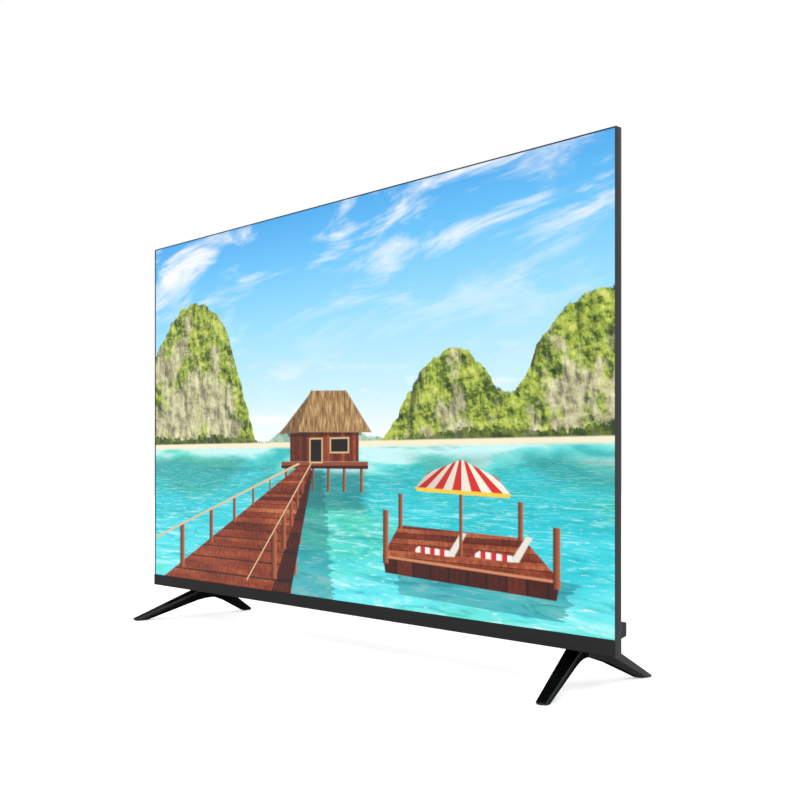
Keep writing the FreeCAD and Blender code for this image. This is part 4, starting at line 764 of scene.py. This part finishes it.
def swellFoot(bm, hubX, hubY):
    # arms a little fuller towards the toes, and a lower arch between them; a crown's
    # faces have the first finish
    crown = {v for f in bm.faces if f.material_index == 0 for v in f.verts}
    sole = {v for f in bm.faces if f.normal.z < footLook["soleTilt"] for v in f.verts}
    for v in bm.verts:
        run = abs(v.co.y - hubY)
        share = smoothShare((run - footLook["hubRun"]) / footLook["armRun"])
        onArm = v.co.z < barLow.z - footLook["barGap"] and run > footLook["hubRun"]
        middle = hubX + math.copysign(footLook["splay"] * run, hubX)
        if onArm and abs(v.co.x) > abs(middle):
            start = smoothShare((run - footLook["hubRun"]) / footLook["hubSoft"])
            v.co.x += math.copysign(footLook["fuller"] * start, hubX)
        if onArm and v in crown:
            v.co.z += footLook["lift"] + footLook["liftToe"] * share
        if v in sole and run < footLook["archRun"]:
            part = (run - footLook["archFlat"]) / (footLook["archRun"] - footLook["archFlat"])
            v.co.z -= footLook["archDrop"] * (1 - smoothShare(part))


def paintFlankHighlight(mat, hubY):
    # painted highlight: the side's colour is made lighter just below the ridge and fades darker towards the
    # floor
    tree = mat.node_tree
    colour = tree.nodes["Principled BSDF"].inputs["Base Color"]
    painted = colour.links[0].from_socket
    split = addNode(tree, "ShaderNodeSeparateXYZ")
    tree.links.new(objectPlace(tree), split.inputs[0])
    run = calc(tree, "ABSOLUTE", calc(tree, "SUBTRACT", split.outputs["Y"], hubY))
    top = calc(tree, "MULTIPLY_ADD", run, -footLook["crownSlope"], footLook["crownTop"])
    depth = calc(tree, "SUBTRACT", top, split.outputs["Z"])
    share = ramp(tree, depth, 1.0, 0.0, 0.0, footLook["flankHighlightDepth"])
    tree.links.new(mixColour(tree, share, painted, tone(*footLook["flankHighlightTone"])), colour)


def makeFootPieces():
    # gloss crown, painted highlights on the ridge along both its edges and down the dull sides, and behind
    # the hub painted light: a lighter outer side, with painted shade on the keel below it
    finishNames = ("foot_gloss", "foot_ridge", "foot_side", "foot_rear", "foot_keel")
    hubY = seenLow.y + footLook["apexBack"]
    paintFlankHighlight(materials["foot_side"], hubY)
    for side, turn in (("left", -1), ("right", 1)):
        bm = cleanCopy("foot_" + side)
        for face in bm.faces:
            centre = face.calc_center_median()
            crown = face.normal.z > footLook["crownTilt"] and centre.z < barLow.z + footLook["barGap"]
            flank = face.normal.x * turn > footLook["flankTurn"] and centre.y > hubY
            finish = "foot_side"
            if crown:
                finish = "foot_gloss"
            # painted light on outer faces behind the hub: lighter above, painted shade on the faces turned
            # down
            elif flank:
                finish = "foot_keel" if face.normal.z < footLook["lowTilt"] else "foot_rear"
            face.material_index = finishNames.index(finish)
        swellFoot(bm, turn * (barHigh.x - footLook["inset"]), hubY)
        ridges = [e for e in bm.edges
                  if len(e.link_faces) == 2 and e.calc_face_angle(0.0) > math.radians(footLook["ridgeTurn"])
                  and sorted(f.material_index == 0 for f in e.link_faces) == [False, True]]
        # the ridge's bevel faces take the painted highlight finish
        bmesh.ops.bevel(bm, geom=ridges, offset=footLook["ridge"], offset_type="OFFSET",
                        segments=footLook["ridgeSegments"], profile=0.5, affect="EDGES",
                        material=finishNames.index("foot_ridge"), clamp_overlap=True)
        bevelSharp(bm, footLook["corner"], footLook["cornerSegments"], footLook["cornerTurn"])
        finishPiece(bm, "foot_leg_" + side, "foot_" + side,
                    [materials[name] for name in finishNames])


def dressNodes():
    for part in frame["record"]["subparts"]:
        piece = nodes[part["node"]]
        if part["material_slot"] in materials:
            piece.data.materials.clear()
            piece.data.materials.append(materials[part["material_slot"]])


dressNodes()
makePanelPiece()
makeTrimPieces()
makeBarPiece()
makeFootPieces()
makeHousingPiece()
print("pieces ready")


# Stage

# lift is the floor's glow where it is looked at; worldLight is the world's strength as a light,
# and that is 1 where it is looked at
stage = {"floorSize": 12.0, "floorTone": (240, 240, 240), "floorRough": 0.9, "floorSpecular": 0.1,
         "lift": 0.42, "worldLight": 0.9}


def seenDirectly(tree):
    # 1 for what the camera, a reflection or a clear part looks at
    path = addNode(tree, "ShaderNodeLightPath")
    return calc(tree, "MAXIMUM", path.outputs["Is Camera Ray"],
                calc(tree, "MAXIMUM", path.outputs["Is Glossy Ray"], path.outputs["Is Transmission Ray"]))


def makeFloor():
    bm = bmesh.new()
    bmesh.ops.create_grid(bm, x_segments=1, y_segments=1, size=stage["floorSize"] / 2)
    mesh = bpy.data.meshes.new("floor")
    bm.to_mesh(mesh)
    bm.free()
    mat = bpy.data.materials.new("floor_pale")
    mat.use_nodes = True
    tree = mat.node_tree
    shader = tree.nodes["Principled BSDF"]
    shader.inputs["Base Color"].default_value = tone(*stage["floorTone"])
    shader.inputs["Roughness"].default_value = stage["floorRough"]
    shader.inputs["Specular IOR Level"].default_value = stage["floorSpecular"]
    glow = addNode(tree, "ShaderNodeEmission")
    glow.inputs["Color"].default_value = (1, 1, 1, 1)
    tree.links.new(calc(tree, "MULTIPLY", seenDirectly(tree), stage["lift"]), glow.inputs["Strength"])
    both = addNode(tree, "ShaderNodeAddShader")
    tree.links.new(shader.outputs[0], both.inputs[0])
    tree.links.new(glow.outputs[0], both.inputs[1])
    tree.links.new(both.outputs[0], tree.nodes["Material Output"].inputs["Surface"])
    mesh.materials.append(mat)
    floor = bpy.data.objects.new("floor", mesh)
    bpy.context.scene.collection.objects.link(floor)


def makeWorld():
    world = bpy.data.worlds.new("studio")
    world.use_nodes = True
    bpy.context.scene.world = world
    tree = world.node_tree
    back = tree.nodes["Background"]
    back.inputs["Color"].default_value = (1, 1, 1, 1)
    tree.links.new(ramp(tree, seenDirectly(tree), stage["worldLight"], 1.0), back.inputs["Strength"])


# name, place, what it is turned to, size and power
lamps = [("key", (2.2, -1.6, 2.4), (0.2, 0, 0.3), (1.8, 1.8), 42),
         ("fill", (-2.4, -2.0, 1.8), (0, 0, 0.3), (2.0, 2.0), 15),
         ("rear", (0.8, 2.6, 2.2), (0, 0, 0.3), (2.2, 1.4), 26)]


def makeLamp(name, place, aim, size, watts):
    light = bpy.data.lights.new(name, "AREA")
    light.shape = "RECTANGLE"
    light.size, light.size_y = size
    light.energy = watts
    lamp = bpy.data.objects.new(name, light)
    lamp.location = place
    lamp.rotation_euler = (Vector(aim) - Vector(place)).to_track_quat("-Z", "Y").to_euler()
    bpy.context.scene.collection.objects.link(lamp)


def makeCamera():
    # the photograph's own viewpoint, worked out from the picture's outline
    view = {"x": 1178.7 * mm, "toFrame": -917.1 * mm, "aboveBar": 185.05 * mm, "turn": 45.65,
            "lens": 50.04, "sensor": 36.0, "shiftX": -0.0736, "shiftY": 0.0763}
    data = bpy.data.cameras.new("view")
    data.lens = view["lens"]
    data.sensor_width = view["sensor"]
    data.shift_x = view["shiftX"]
    data.shift_y = view["shiftY"]
    camera = bpy.data.objects.new("view", data)
    camera.location = (view["x"], trimLow.y + view["toFrame"], barHigh.z + view["aboveBar"])
    camera.rotation_euler = (math.radians(90), 0, math.radians(view["turn"]))
    bpy.context.scene.collection.objects.link(camera)
    bpy.context.scene.camera = camera


makeFloor()
makeWorld()
for name, place, aim, size, watts in lamps:
    makeLamp(name, place, aim, size, watts)
makeCamera()
bpy.context.scene.view_settings.view_transform = "Standard"
print("stage ready")
